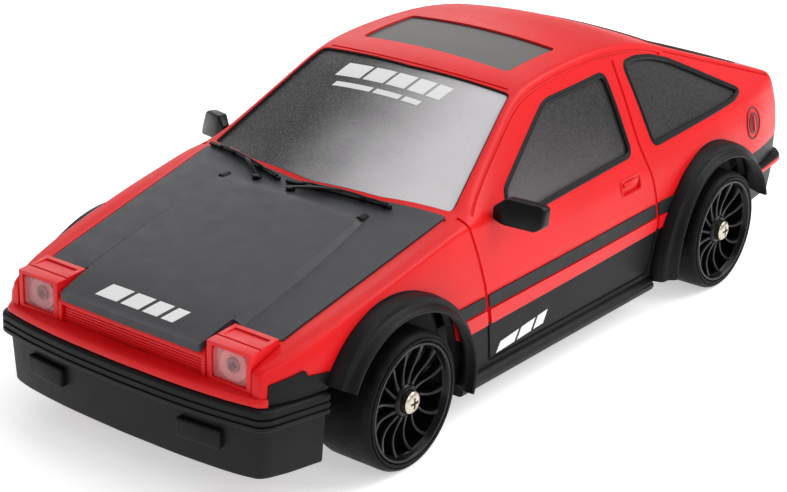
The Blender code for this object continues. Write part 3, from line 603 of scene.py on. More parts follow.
def flake_paint(name, dark, pale, direction, roughness=0.4, fleck_weight=0.25):
    """Painted glazing: fine flakes over a shade that runs from 0 to 1 along (x, y, z, value at 0). On the
    windscreen this run from dark to pale is a painted reflection.
    """
    finish = Finish(name, dark, roughness, metallic=0.1, shine=0.25)
    run = finish.math("MULTIPLY_ADD", finish.x, direction[0], direction[3])
    run = finish.math("MULTIPLY_ADD", finish.y, direction[1], run)
    run = finish.math("MULTIPLY_ADD", finish.z, direction[2], run)
    cloud = finish.math("ADD", run, finish.span(finish.noise(0.1, 2), 0.2, 0.8, -0.06, 0.06))
    base = finish.mix(finish.span(cloud, 0, 1, smooth=True), linear(dark), linear(pale))
    bright = tuple(min(c + 60, 255) for c in pale)
    flake = finish.math("MULTIPLY", finish.span(finish.cells(7.5), 0.6, 1.0), fleck_weight)
    fleck = finish.mix(flake, base, linear(bright))
    pit = finish.math("MULTIPLY", finish.span(finish.noise(6.0, 3), 0.5, 0.72), fleck_weight * 1.2)
    finish.colour(finish.mix(pit, fleck, linear(tuple(c * 0.7 for c in dark))))
    finish.rough(finish.span(finish.cells(7.5), 0, 1, roughness - 0.06, roughness + 0.08))
    finish.grain(finish.noise(6.0, 3), 0.006)
    return finish.material


def steel(name, colour, roughness=0.24, stretch=(1, 1, 1)):
    finish = Finish(name, colour, roughness, metallic=1.0)
    streak = finish.noise(1.6, 4, 0.6, stretch)
    darker = tuple(c * 0.72 for c in finish.base[:3]) + (1.0,)
    finish.colour(finish.mix(finish.span(streak, 0.3, 0.7), darker, finish.base))
    finish.rough(finish.span(streak, 0.2, 0.8, roughness - 0.08, roughness + 0.14))
    finish.grain(finish.noise(3.0, 4, 0.6, stretch), 0.01)
    return finish.material


def rubber():
    """Hard slick tyre: blue-black, faintly dusty on the tread."""
    finish = Finish("tyre_slick", (12, 12, 14), 0.5, shine=0.1)
    dust = finish.span(finish.noise(0.5, 5, 0.65), 0.48, 0.75)
    finish.colour(finish.mix(finish.math("MULTIPLY", dust, 0.25), finish.base, linear((40, 40, 42))))
    finish.speckle(0.6, 4, 0.42, 0.58)
    finish.grain(finish.noise(2.5, 4), 0.01)
    return finish.material


def clear_lens():
    finish = Finish("lens_clear", (226, 176, 178), 0.05, shine=0.6)
    finish.set("Alpha", 0.16)
    finish.rough(finish.span(finish.noise(0.8, 3), 0.3, 0.7, 0.03, 0.12))
    finish.grain(finish.noise(0.7, 2), 0.03)
    return finish.material


def floor_paper():
    finish = Finish("floor_paper", (246, 246, 246), 0.9)
    tone = finish.span(finish.noise(0.01, 2), 0.3, 0.7)
    finish.colour(finish.mix(tone, linear((245, 245, 245)), linear((248, 248, 248))))
    finish.set("Emission Color", (1, 1, 1, 1))
    finish.set("Emission Strength", FLOOR_GLOW)
    return finish.material


FINISHES = {}


# name, colour, roughness, grain, coat, variation and shine of the plain plastics
PLASTICS = {
    "red": ("trim_red_satin", (221, 20, 26), 0.36, 0.006, 0, 0.05, 0.3),
    "trim": ("trim_black_satin", (15, 15, 17), 0.45, 0.006, 0, 0.12, 0.16),
    "gloss": ("gloss_black", (7, 7, 8), 0.3, 0.002, 0, 0.12, 0.2),
    "rim": ("rim_black_gloss", (9, 9, 10), 0.24, 0.002, 0, 0.12, 0.22),
    "band": ("side_band_black", (30, 30, 32), 0.42, 0.006, 0, 0.12, 0.16),
    "print": ("print_white", (232, 232, 232), 0.4, 0.004, 0, 0.03, 0.5),
    # dark red of the quarter caps; round the sunroof the same colour is painted shade in the gap between pane
    # and skin
    "pocket": ("dark_red_caps_and_painted_gap_shade", (96, 12, 16), 0.5, 0.012, 0, 0.12, 0.5),
    "reflector": ("reflector_pink", (206, 112, 116), 0.25, 0.05, 0, 0.3, 0.8),
    "bulb": ("bulb_ring", (128, 62, 68), 0.2, 0.02, 0, 0.12, 0.5),
    "lamp": ("lamp_red_gloss", (120, 8, 12), 0.15, 0.003, 0.9, 0.12, 0.5),
    "amber": ("lamp_amber_gloss", (196, 92, 16), 0.18, 0.003, 0.9, 0.12, 0.5),
    "pale_lamp": ("lamp_pale_gloss", (196, 196, 196), 0.18, 0.003, 0.9, 0.12, 0.5),
    "nylon": ("nylon_black", (34, 34, 36), 0.55, 0.02, 0, 0.12, 0.5),
    "acetal": ("acetal_white", (214, 212, 202), 0.42, 0.006, 0, 0.05, 0.5),
    "board": ("board_green", (16, 74, 40), 0.3, 0.012, 0.3, 0.12, 0.5),
    "wrap": ("battery_wrap_blue", (30, 62, 138), 0.3, 0.006, 0.3, 0.12, 0.5),
}
FINISHES = {}


def make_finishes():
    """Fills FINISHES, in which make() finds a piece's material."""
    FINISHES.update({key: plastic(*values) for key, values in PLASTICS.items()})
    FINISHES.update({
        "paint": body_paint(),
        "bonnet": bonnet_paint(),
        "smoke": flake_paint("glazing_smoked", (34, 33, 34), (92, 88, 90), (0, -0.012, -0.03, 1.75)),
        # the windscreen's run from dark on the car's right to pale silver on its left is a painted reflection
        "screen": flake_paint("windscreen_with_painted_reflection", (36, 35, 36), (206, 203, 206), (0.026, -0.002, 0, 0.36),
                              fleck_weight=0.13),
        "sunroof": flake_paint("sunroof_grey", (92, 90, 88), (104, 102, 100), (0.005, 0.01, 0, 0.4), 0.5),
        "mirror": steel("mirror_glass", (150, 154, 160), 0.08),
        "lens": clear_lens(),
        "rubber": rubber(),
        "screw": steel("screw_zinc", (214, 206, 190), 0.26),
        "shaft": steel("shaft_steel", (168, 168, 170), 0.3, (6, 6, 1)),
        "floor": floor_paper(),
    })


# ---- painted shell ----
def body_solid(name, depth, stations, bottom, material=None, end_round=0.0):
    """The body as one closed solid; end_round rounds its front and back rims."""
    rings = []
    for y in stations:
        near_end = min(y - stations[0], stations[-1] - y)
        tuck = 0.0
        if near_end < end_round:
            tuck = end_round - sqrt(end_round ** 2 - (end_round - near_end) ** 2)
        half = half_section(y, depth + tuck)
        half[-1][1] = bottom
        ring = [(x, y, z) for x, z in half[::-1]] + [(-x, y, z) for x, z in half[1:]]
        rings.append(ring)
    return loft(name, rings, material)


def groove(name, path, radius):
    """A thin tube along surface points, for cutting a shut line."""
    return sweep(name, path, ellipse(radius, radius * 1.25, sides=8), None)


def side_path(points, side):
    """Surface points along a (y, z) line on one side of the body, with its corners rounded."""
    smooth = soften(points, [3.0] * len(points), [0] * (len(points) - 1))
    return [on_side(y, z, side) for y, z in divided(smooth, 1.0, False)]


def roof_edge_path(start, end, drop, side):
    """Surface points that run along the roof's side edge, a little below it."""
    places = np.linspace(start, end, int(abs(end - start) / 1.2))
    return [on_side(y, line(EDGE_Z, y) - drop, side) for y in places]


DOOR_FRONT_LINE = [(-38.4, 40.6), (-36.4, 34), (-33.4, 25), (-31.2, 15), (-30.2, 9.6)]
DOOR_REAR_LINE = [(25.4, 56.2), (25.6, 46), (26.0, 38.5), (28.6, 31), (30.6, 22), (30.2, 14), (28.2, 9.6)]
SILL_LINE = [(-30.2, 9.6), (0, 9.7), (28.2, 9.6)]
BONNET_LINE = [(30.35, -40.0), (28.75, -84.8)]
HANDLE_ROOM = [(16.1, 30.8), (23.2, 31.0), (23.2, 33.8), (16.1, 33.6)]


def carve_openings(shell):
    """Hollows the shell and cuts its windows, arches and the rooms for bumpers, lamps and handles."""
    hollow = body_solid("hollow", SHELL_WALL, list(np.linspace(SHELL_FRONT_Y + 3.2, SHELL_BACK_Y - 3.2, 60)),
                        SHELL_BOTTOM_Z - 4)
    tools = [
        prism_z("windscreen_hole", round_outline(WINDSCREEN, 1.4), 36, 70),
        prism_z("hatch_hole", round_outline(HATCH_WINDOW, 2.5), 36, 70),
        prism_z("sunroof_hole", round_outline(SUNROOF, 1.2), 50, 70),
        box("front_bumper_room", (-60, -110, 0), (60, -74, 21.5)),
        box("rear_bumper_room", (-60, 66, 0), (60, 110, 20.8)),
        box("tail_lamp_room", (-26, 88, 25.8), (26, 110, 34.2)),
        box("nose_recess", (-17.4, -96, 22.85), (17.4, -92.3, 26.65)),
    ]
    for label, side in SIDES:
        tools.append(box("pod_room_" + label, (18.3, -110, 21.9), (29.1, -85.7, 40), side=side))
        for part, corners, radius, depth in (("door", DOOR_WINDOW, 2.2, 12),
                                             ("quarter", QUARTER_WINDOW, 2.0, 12),
                                             ("handle", HANDLE_ROOM, 0.8, side_x(19.6, 32.3) - 0.25)):
            outline = round_outline(corners, radius)
            tools.append(prism_x(f"{part}_hole_{label}", outline, depth, 60, side=side))
        for axle_y in (FRONT_AXLE_Y, REAR_AXLE_Y):
            outline = [about_axle(axle_y, ARCH_R, a) for a in np.linspace(0, 2 * pi, 72, endpoint=False)]
            tools.append(prism_x(f"arch_{label}_{axle_y}", outline, ARCH_INNER_X, 60, side=side))
    carve(shell, hollow, *tools)


def carve_shut_lines(shell):
    grooves = []
    for label, side in SIDES:
        for name, points, radius in (("door_front", DOOR_FRONT_LINE, 0.42),
                                     ("door_rear", DOOR_REAR_LINE, 0.42), ("sill", SILL_LINE, 0.36)):
            grooves.append(groove(f"line_{name}_{label}", side_path(points, side), radius))
        for name, start, end, drop in (("drip", -35.5, 46.6, 1.5), ("hatch_side", 48.4, 90.5, 1.0)):
            grooves.append(groove(f"line_{name}_{label}", roof_edge_path(start, end, drop, side), 0.34))
        edge = [on_top(side * x, y) for x, y in divided(BONNET_LINE, 1.5, False)]
        grooves.append(groove("line_bonnet_" + label, edge, 0.36))
    grooves.append(groove("line_hatch_front", [on_top(x, 47.6) for x in np.linspace(-22.4, 22.4, 40)], 0.36))
    header = [on_top(x, -9.6 - 1.2 * (1 - (x / 22.5) ** 2)) for x in np.linspace(-22.5, 22.5, 40)]
    grooves.append(groove("line_header", header, 0.26))
    carve(shell, *grooves)


def make_shell():
    """The painted shell with its openings and shut lines."""
    ends = (0, 0.08, 0.3, 0.7)
    places = [*np.arange(SHELL_FRONT_Y + 1.2, SHELL_BACK_Y - 1.1, 1.25), -44.6, -43.8, -39.5, -37.3, 47, 88]
    places += [SHELL_FRONT_Y + d for d in ends] + [SHELL_BACK_Y - d for d in ends]
    stations = sorted({round(y, 3) for y in places})
    shell = body_solid("shell_body", 0, stations, SHELL_BOTTOM_Z, "paint", end_round=0.8)
    carve_openings(shell)
    carve_shut_lines(shell)
    soft_edges(shell, 38)
    stand_in(shell, "body_red", "body_shell")


# ---- glazing ----
GLASS_DEPTH = 0.55
PANE_GAP = 0.12
PANE_SPACING = 2.4


def window(name, outline, radius, place, node, finish, frame_lift, frame):
    """A pane set below the skin, and the bead that frames it."""
    edge = round_outline(outline, radius)
    pane = patch(name, inset(edge, PANE_GAP), lambda u, v: place(u, v, -GLASS_DEPTH), finish,
                 PANE_SPACING, 0.8)
    stand_in(pane, "sunroof_grey" if finish == "sunroof" else "smoked_glazing", node)
    path = [place(u, v, frame_lift) for u, v in inset(divided(edge, 1.5, True), 0.1)]
    across, out, bead_finish = frame
    bead = sweep(name + "_bead", path, ellipse(across, out, 10), bead_finish, closed=True)
    stand_in(bead, "trim_black")


def make_glazing():
    window("windscreen_pane", WINDSCREEN, 1.4, on_top, "windscreen", "screen", -0.45,
           (0.28, 0.3, "trim"))
    window("hatch_pane", HATCH_WINDOW, 2.5, on_top, "hatch_window", "smoke", -0.05,
           (0.6, 0.32, "trim"))
    # the sunroof's thin dark red bead is painted shade in the gap round its pane
    window("sunroof_pane", SUNROOF, 1.2, on_top, "sunroof_panel", "sunroof", -0.5,
           (0.16, 0.2, "pocket"))
    for label, side in SIDES:
        def place(y, z, lift, side=side):
            return on_side(y, z, side, lift)
        for part, outline, radius in (("door", DOOR_WINDOW, 2.2), ("quarter", QUARTER_WINDOW, 2.0)):
            window(f"{part}_pane_{label}", outline, radius, place, f"{part}_window_{label}", "smoke", -0.05,
                   (0.62, 0.34, "trim"))


# ---- bonnet ----
BONNET_LIFT = 0.25
RIDGE_REAR_Y = -47.5


def smooth_step(t):
    t = min(max(t, 0.0), 1.0)
    return t * t * (3 - 2 * t)


def bonnet_ridge(y):
    """How far forward y is along the ridge, and the ridge's inner x and width there."""
    forward = min(max((RIDGE_REAR_Y - y) / 38, 0.0), 1.2)
    bow = 0.8 * sin(pi * min(forward, 1.0))
    return forward, 17.2 + 0.5 * forward + bow, 0.8 + 1.3 * forward


def on_bonnet(x, y):
    """The bonnet skin, whose middle stands a little above its sides from one ridge to the other."""
    forward, inner, width = bonnet_ridge(y)
    plateau = min(max((inner + width - abs(x)) / width, 0.0), 1.0)
    rise = smooth_step((RIDGE_REAR_Y - y) / 3) * (0.6 + 0.5 * forward)
    return on_top(x, y, BONNET_LIFT + rise * plateau)


def make_bonnet():
    outline = BONNET_HALF + [(-x, y) for x, y in BONNET_HALF[-2:0:-1]]
    creases = []
    for share in (0, 1):
        for side in (1, -1):
            creases.append([(side * (inner + share * width), y) for y in np.linspace(RIDGE_REAR_Y, -84.4, 24)
                            for _, inner, width in [bonnet_ridge(y)]])
    panel = patch("bonnet_skin", round_outline(outline, 0.5, 3), on_bonnet, "bonnet",
                  0.9, 1.5, smooth=12, creases=creases)
    stand_in(panel, "trim_black")
    for label, side in SIDES:
        point, normal = on_bonnet(side * 17.4, -48.4)
        jet = sweep("washer_jet_" + label, [(point + np.array([0, d, 0]), normal) for d in (-1.3, 1.1)],
                    [(-0.9, -0.2), (0.9, -0.2), (0.5, 0.45), (-0.5, 0.45)], "trim")
        stand_in(bevel(jet, 0.12, 2), "trim_black")


def make_wipers():
    """Blade, claws, yokes, arm, bridge and pivot cap of each wiper, at the base of the windscreen."""
    blade_profile = [(-0.16, -0.45), (0.16, -0.45), (0.34, 0.0), (0.3, 0.3), (-0.3, 0.3), (-0.34, 0.0)]
    claw_profile = [(-0.5, -0.6), (0.5, -0.6), (0.42, 0.2), (-0.42, 0.2)]
    for label, start, end, pivot in (("right", (-29.2, -39.6), (-5.4, -45.9), (-10.5, -46.9)),
                                     ("left", (-3.6, -46.0), (20.4, -43.6), (-1.2, -47.6))):
        def along(t, lift, start=start, end=end):
            x, y = (a + (b - a) * t for a, b in zip(start, end))
            return on_top(x, y, lift)

        def arched(low, high, lift, rise, count, along=along):
            return [along(low + (high - low) * t, lift + rise * sin(pi * t))
                    for t in np.linspace(0, 1, count)]

        blade_path = [along(t, 0.75) for t in np.linspace(0, 1, 24)]
        blade = sweep("wiper_blade_" + label, blade_path, blade_profile, "trim")
        centre = along(0.55, 1.55)[0]
        foot, foot_normal = on_top(*pivot, 0.9)
        arm = [(foot * (1 - t) + centre * t + foot_normal * 0.35 * sin(pi * t), foot_normal)
               for t in np.linspace(0, 1, 9)]
        base, normal = on_top(*pivot, -0.2)
        cap = loft("cap_" + label, [[base + normal * h + np.array([r * cos(a), r * sin(a), 0])
                                     for a in np.linspace(0, 2 * pi, 20, endpoint=False)]
                                    for h, r in ((0, 0.95), (1.0, 0.95), (1.25, 0.75), (1.35, 0.3))], "gloss")
        bits = [cap]
        for t in (0.16, 0.36, 0.74, 0.94):
            bits.append(sweep(f"claw_{label}_{t}", [along(t - 0.018, 1.1), along(t + 0.018, 1.1)],
                              claw_profile, "gloss"))
        for name, path, width, height in (("yoke_low", arched(0.16, 0.36, 1.25, 0.3, 7), 0.22, 0.16),
                                          ("yoke_high", arched(0.74, 0.94, 1.25, 0.3, 7), 0.22, 0.16),
                                          ("arm", arm, 0.42, 0.24),
                                          ("bridge", arched(0.26, 0.84, 1.35, 0.35, 9), 0.25, 0.18)):
            bits.append(sweep(f"{name}_{label}", path, ellipse(width, height, 8), "gloss"))
        stand_in(join(blade, *bits), "trim_black", "wiper_" + label)


# ---- side bands, handles, plain graphics ----
def band_z(y, low_front, low_rear):
    return low_front + (low_rear - low_front) * (y + 42) / 76


def arch_edge_y(axle_y, way, z):
    """Where the arch opening's covered rim stands at height z, on the side of the door."""
    return axle_y + way * sqrt((ARCH_R + 0.8) ** 2 - (z - AXLE_Z) ** 2)


def door_front_y(z):
    return -33.4 + 0.22 * (25 - z)


def door_rear_y(z):
    return 30.6 - 0.22 * max(z - 22, 0)


def make_side_bands():
    """Raised black band and red strip on each side, broken at the door's shut lines."""
    gap = 0.55
    spans = (("fender", lambda z: arch_edge_y(FRONT_AXLE_Y, 1, z), lambda z: door_front_y(z) - gap),
             ("door", lambda z: door_front_y(z) + gap, lambda z: door_rear_y(z) - gap),
             ("quarter", lambda z: door_rear_y(z) + gap, lambda z: arch_edge_y(REAR_AXLE_Y, -1, z)))
    for label, side in SIDES:
        for part, start, stop in spans:
            for band, low, high, lift, finish, slot in (
                    ("band", (21.3, 22.6), (24.1, 25.7), 0.3, "band", "trim_black"),
                    ("strip", (17.7, 19.5), (21.0, 22.4), 0.5, "red", "body_red")):
                outline = []
                for end, pair in ((start, low), (stop, low), (stop, high), (start, high)):
                    z = band_z(end(pair[0]), *pair)
                    outline.append((end(z), z))
                skin = patch(f"side_{band}_{part}_{label}", round_outline(outline, 0.35, 3),
                             lambda y, z, side=side, lift=lift: on_side(y, z, side, lift),
                             finish, 2.0, 0.8)
                stand_in(skin, slot)


CAP_Y = 75.5
CAP_Z = 32.2


def make_handles_and_caps():
    """A pull handle in each door's pocket and a round plain cap on each rear quarter."""
    for label, side in SIDES:
        rim = round_outline([(15.9, 30.6), (23.4, 30.8), (23.4, 34.0), (15.9, 33.8)], 0.9, 5)
        lip = sweep("handle_lip_" + label, [on_side(y, z, side, 0.02) for y, z in divided(rim, 0.8, True)],
                    ellipse(0.26, 0.24, 8), "red", closed=True)
        pull = sweep("handle_pull_" + label,
                     [on_side(y, 32.9, side, -0.1 + 0.35 * sin(pi * (y - 16.9) / 5.4))
                      for y in np.linspace(16.9, 22.3, 14)],
                     [(-0.55, -0.2), (0.55, -0.2), (0.45, 0.28), (-0.45, 0.28)], "red")
        stand_in(join(lip, pull), "body_red")
        turns = np.linspace(0, 2 * pi, 40, endpoint=False)
        ring = sweep("quarter_cap_ring_" + label,
                     [on_side(CAP_Y + 3.4 * sin(a), CAP_Z + 3.5 * cos(a), side, 0.02) for a in turns],
                     ellipse(0.24, 0.22, 8), "pocket", closed=True)
        disc = patch("quarter_cap_disc_" + label,
                     [(CAP_Y + 2.3 * sin(a), CAP_Z + 2.4 * cos(a)) for a in turns],
                     lambda y, z, side=side: on_side(y, z, side, 0.14), "pocket", 0.7, 0.3)
        slot_bar = sweep("quarter_cap_bar_" + label,
                         [on_side(CAP_Y, CAP_Z + d, side, 0.28) for d in (-1.7, 0, 1.7)],
                         [(-0.4, -0.2), (0.4, -0.2), (0.26, 0.16), (-0.26, 0.16)], "red")
        stand_in(join(ring, disc, slot_bar), "body_red")


def dashes(name, place, start, lengths, gap, low, high, lean, rise=0.0):
    """A row of plain slanted bars along the first coordinate, printed on a surface."""
    bars = []
    at = start
    for k, length in enumerate(lengths):
        up, end_up = rise * (at - start), rise * (at + length - start)
        outline = [(at, low + up), (at + length, low + end_up), (at + length + lean, high + end_up * 1.5),
                   (at + lean, high + up * 1.5)]
        bars.append(patch(f"{name}_{k}", outline, place, "print", 1.6, 0.12))
        at += length + gap
    stand_in(join(*bars), "trim_black")


def make_graphics():
    def screen(x, y):
        return on_top(x, y, -GLASS_DEPTH + 0.06)

    def bonnet(x, y):
        point, normal = on_bonnet(x, y)
        return point + normal * 0.06, normal

    dashes("screen_bar_wide", screen, -15.2, (6.4, 5.2, 4.6, 4.0, 3.2), 0.8, -17.7, -14.0, 1.0)
    dashes("screen_bar_thin", screen, -13.8, (9.6, 6.4, 4.0), 0.9, -20.4, -19.2, 0.4)
    dashes("bonnet_bars", bonnet, -10.6, (5.4, 4.4, 3.6, 2.8), 1.0, -90.9, -87.4, 1.2)
    for label, side in SIDES:
        def door(y, z, side=side):
            return on_side(y, z, side, 0.06)
        dashes("door_bars_" + label, door, -28.0, (6.2, 4.8, 3.4), 0.9, 10.2, 12.4, 1.2, 0.07)


# ---- bumpers, nose and tail ----
FRONT_PLAN = [(0, -97.5), (14, -97.2), (24, -96.3), (32.2, -94.9), (33.5, -93.2), (36.35, -80.7)]
REAR_PLAN = [(0, 97.5), (14, 97.3), (24, 96.9), (30.6, 96.0), (33.8, 92), (36.0, 74.2)]
FRONT_PROFILE = [(5.2, 21.2), (0.9, 21.3), (0.35, 21.15), (0.05, 20.85), (0, 20.5), (0, 19.95), (0.32, 19.8),
                 (0.32, 19.5), (0, 19.35), (0, 18.6), (0.32, 18.45), (0.32, 18.15), (0, 18.0), (0, 17.45),
                 (0.15, 17.15), (0.5, 16.95), (1.1, 16.85), (1.15, 16.3), (1.6, 7.5), (1.8, 7.05), (2.2, 6.8),
                 (3.9, 6.8), (4.2, 16.5), (5.2, 17.3)]
REAR_PROFILE = [(5.6, 20.5), (0.5, 20.5), (0.15, 20.35), (0, 20.1), (0, 18.95), (0.2, 18.7), (1.0, 18.6),
                (1.1, 18.1), (1.65, 12.3), (1.85, 11.85), (2.3, 11.6), (4.2, 11.6), (5.0, 18.0), (5.6, 18.7)]
LIP_PROFILE = [(4.6, 21.3), (1.0, 21.3), (0.75, 21.5), (0.8, 22.2), (1.1, 22.75), (1.7, 23.0), (4.6, 23.1)]
PIN_PROFILE = [(0.5, 18.95), (-0.02, 18.95), (-0.12, 19.1), (-0.12, 19.75), (-0.02, 19.9), (0.5, 19.9)]


def wrap(name, plan, profile, material, limit=1e9):
    """A bumper shape: a profile of (depth, z) carried round a plan that is mirrored in X."""
    toward = 1 if plan[0][1] < 0 else -1
    radii = [0, 8, 8, 1.8, 2.4, 0]
    half = [p for p in divided(soften(plan, radii, [0] * (len(plan) - 1)), 2.0, False)
            if abs(p[1]) > limit or limit > 1e8]
    path = [(-x, y) for x, y in half[:0:-1]] + [tuple(p) for p in half]
    rings = []
    for x, y in path:
        sideways = smooth_step((abs(x) - 26) / 7.3)
        backward = 1 - smooth_step((93.0 - abs(y)) / 6)
        rings.append([(x - copysign(sideways, x) * d, y + toward * backward * d, z) for d, z in profile])
    return loft(name, rings, material, smooth=28)


def make_bumpers():
    front = wrap("bumper_front", FRONT_PLAN, FRONT_PROFILE, "trim")
    blocks = []
    for label, side in SIDES:
        block = box("fog_block_" + label, (14.3, -0.9, -1.9), (24.0, 0.9, 1.9), "trim", side)
        bevel(block, 0.5, 3)
        turn = Matrix.Rotation(side * radians(5.2), 4, "Z")
        place = Vector((side * 19.15, -95.75, 13.5)) * MM
        middle = Matrix.Translation(Vector((side * 19.15, 0, 0)) * MM)
        block.data.transform(Matrix.Translation(place) @ turn @ middle.inverted())
        blocks.append(block)
    stand_in(join(front, *blocks), "trim_black", "front_bumper")
    stand_in(wrap("nose_lip", FRONT_PLAN, LIP_PROFILE, "red", limit=93.4), "body_red")
    rear = wrap("bumper_rear", REAR_PLAN, REAR_PROFILE, "trim")
    stand_in(rear, "trim_black", "rear_bumper")
    stand_in(wrap("rear_pinstripe", REAR_PLAN, PIN_PROFILE, "red"), "body_red")


def make_nose_ribs():
    """The finely ribbed panel in the nose recess between the lamp pods."""
    outline = [(-91.8, 22.9), (-92.5, 22.9)]
    ribs = 6
    for k in range(ribs):
        z = 23.1 + 3.4 * k / ribs
        outline += [(-92.5, z), (-92.72, z + 0.08), (-92.72, z + 0.36), (-92.5, z + 0.44)]
    outline += [(-92.5, 26.6), (-91.8, 26.6)]
    panel = prism_x("nose_ribs", outline, -17.3, 17.3, "red")
    soft_edges(panel, 20)
    stand_in(panel, "body_red")


def turned_y(name, centre, profile, material):
    """A closed loop of (y, radius) turned about a lengthwise line through centre (x, z)."""
    rings = []
    for a in np.linspace(0, 2 * pi, 32, endpoint=False):
        rings.append([(centre[0] + r * cos(a), y, centre[1] + r * sin(a)) for y, r in profile])
    return loft(name, rings, material, closed=True)


POD_OUTLINE = [(-93.3, 22.2), (-85.9, 22.2), (-85.9, 31.0), (-93.3, 30.35)]
LAMP_TURNINGS = (
    ("bowl", [(-92.35, 2.95), (-92.25, 3.2), (-91.7, 3.2), (-91.65, 0.4), (-91.9, 1.2), (-92.1, 2.1)],
     "reflector"),
    ("ring", [(-92.45, 0.95), (-92.5, 1.2), (-92.35, 1.4), (-91.8, 1.4), (-91.8, 0.9)], "bulb"),
    ("bulb", [(-92.4, 0.02), (-92.3, 0.4), (-92.05, 0.62), (-91.7, 0.65), (-91.7, 0.02)], "gloss"),
)


def make_headlamps():
    """Raised pods, each with a grooved lid, a reflector, a ring, a bulb and a clear lens."""
    for label, side in SIDES:
        pod = prism_x("pod_body_" + label, POD_OUTLINE, 18.6, 28.8, "red", side)
        carve(pod, box("lens_room_" + label, (19.7, -100, 23.6), (27.8, -91.6, 29.7), side=side),
              box("lid_line_" + label, (18.0, -90.9, 30.25), (29.4, -90.55, 32), side=side),
              box("lid_step_" + label, (19.6, -90.0, 30.55), (27.9, -87.0, 32), side=side))
        bevel(pod, 0.28, 3)
        stand_in(pod, "body_red", "headlamp_pod_" + label)
        plate = box("lamp_plate_" + label, (19.75, -91.75, 23.65), (27.75, -91.5, 29.65), "reflector", side)
        turnings = [turned_y(f"lamp_{part}_{label}", (side * 23.75, 26.65), profile, finish)
                    for part, profile, finish in LAMP_TURNINGS]
        stand_in(join(plate, *turnings), "lens_clear")
        x0, x1 = sorted((side * 19.9, side * 27.6))
        corners = round_outline([(x0, 23.8), (x1, 23.8), (x1, 29.5), (x0, 29.5)], 0.9, 5)
        rings = [[(x, y, z) for x, z in inset(corners, shrink)]
                 for y, shrink in ((-92.55, 0.0), (-92.95, 0.0), (-93.1, 0.12), (-93.16, 0.35))]
        stand_in(loft("lamp_lens_" + label, rings, "lens"), "lens_clear", "headlamp_lens_" + label)


def make_tail_lamps():
    """The tail panel with ribbed lamps at its ends and bars across its middle."""
    panel = box("tail_panel", (-25.6, 91.2, 26.2), (25.6, 92.3, 33.8), "gloss")
    bevel(panel, 0.25, 2)
    outline = [(92.0, 27.2)]
    for k in range(6):
        z = 27.2 + 5.6 * k / 6
        outline += [(92.62, z + 0.12), (92.78, z + 0.45), (92.62, z + 0.82)]
    outline.append((92.0, 32.8))
    parts = []
    for label, side in SIDES:
        for part, x0, x1, finish in (("turn", 20.0, 24.8, "amber"), ("stop", 12.0, 19.7, "lamp"),
                                     ("reverse", 8.6, 11.7, "pale_lamp")):
            lamp = prism_x(f"tail_{part}_{label}", outline, x0, x1, finish, side)
            soft_edges(lamp, 25)
            parts.append(lamp)
    for k in range(5):
        z = 27.6 + 1.2 * k
        parts.append(bevel(box(f"tail_bar_{k}", (-8.0, 92.2, z), (8.0, 92.55, z + 0.5), "trim"), 0.1, 2))
    stand_in(join(panel, *parts), "lamp_red", "tail_lamp_panel")


def make_flares():
    """Arch flares swept round each axle, with a foot at the sill end."""
    steps = 72
    for axle_name, axle_y, sill_way, bumper_end, lip_foot, edge_foot in (
            ("front", FRONT_AXLE_Y, 1, -65, 0.6, 1.0), ("rear", REAR_AXLE_Y, -1, -79, 1.9, 2.6)):
        for label, side in SIDES:
            rings = []
            for angle in np.radians(np.linspace(bumper_end, 105, steps)):
                foot = min(max((degrees(angle) - 55) / 50, 0), 1) ** 1.6
                spread = sin(angle) ** 2
                lip = FLARE_LIP_R + FLARE_LIP_SPREAD * spread + lip_foot * foot
                edge = FLARE_EDGE_R + FLARE_EDGE_SPREAD * spread + edge_foot * foot
                beside = side_x(*about_axle(axle_y, edge, angle * sill_way))
                wall = max(beside, 34.2) - 0.25
                outer = FLARE_X - FLARE_TUCK * (1 - spread)
                crown = ((wall + outer) / 2 + 0.6, (edge + lip + 1.6) / 2 + 0.35)
                profile = [(wall + 0.4, edge - 1.0), (wall, edge), (wall + 1.25, edge), crown,
                           (outer - 1.8, lip + 1.6), (outer - 0.5, lip + 1.0), (outer, lip + 0.5),
                           (outer - 0.3, lip), (outer - 2.2, lip + 0.2)]
                rings.append([(side * x, *about_axle(axle_y, r, angle * sill_way))
                              for x, r in round_outline(profile, 0.4, 3)])
            flare = loft(f"flare_{axle_name}_{label}", rings, "trim", smooth=32)
            stand_in(flare, "trim_black", f"arch_flare_{axle_name}_{label}")


LINER_WALL_R = {"front": 12.6, "rear": 5.0}
TIE_ROD_ROOM = 3.4


def make_arch_liners():
    """Dark inner arch over each wheel, with a wall toward the middle of the car."""
    for axle_name, axle_y in (("front", FRONT_AXLE_Y), ("rear", REAR_AXLE_Y)):
        for label, side in SIDES:
            rings = []
            for turn in np.linspace(-78, 78, 40):
                angle = radians(turn)
                wall = LINER_WALL_R[axle_name]
                if axle_name == "front":
                    wall += TIE_ROD_ROOM * smooth_step((turn - 42) / 18)
                profile = [(31.4, 19.35), (31.4, 19.95), (20.6, 19.95), (20.3, 19.6), (20.3, wall + 0.3),
                           (20.5, wall), (20.9, wall), (21.1, wall + 0.3), (21.1, 19.05), (21.4, 19.35)]
                rings.append([(side * x, *about_axle(axle_y, r, angle)) for x, r in profile])
            liner = loft(f"arch_liner_{axle_name}_{label}", rings, "nylon", smooth=30)
            stand_in(liner, "chassis_black")


def make_corner_panels():
    """Raised black panel on each front corner, stepped at its top edge."""
    for label, side in SIDES:
        outline = [(-92.4, 21.5), (-80.1, 21.5), (-79.7, 24.7), (-84.5, 25.1), (-85.1, 26.4), (-92.0, 25.2)]
        panel = patch("corner_panel_" + label, round_outline(outline, 0.35, 4),
                      lambda y, z, side=side: on_side(y, z, side, 0.4), "trim", 1.0, 0.9)
        stand_in(panel, "trim_black")


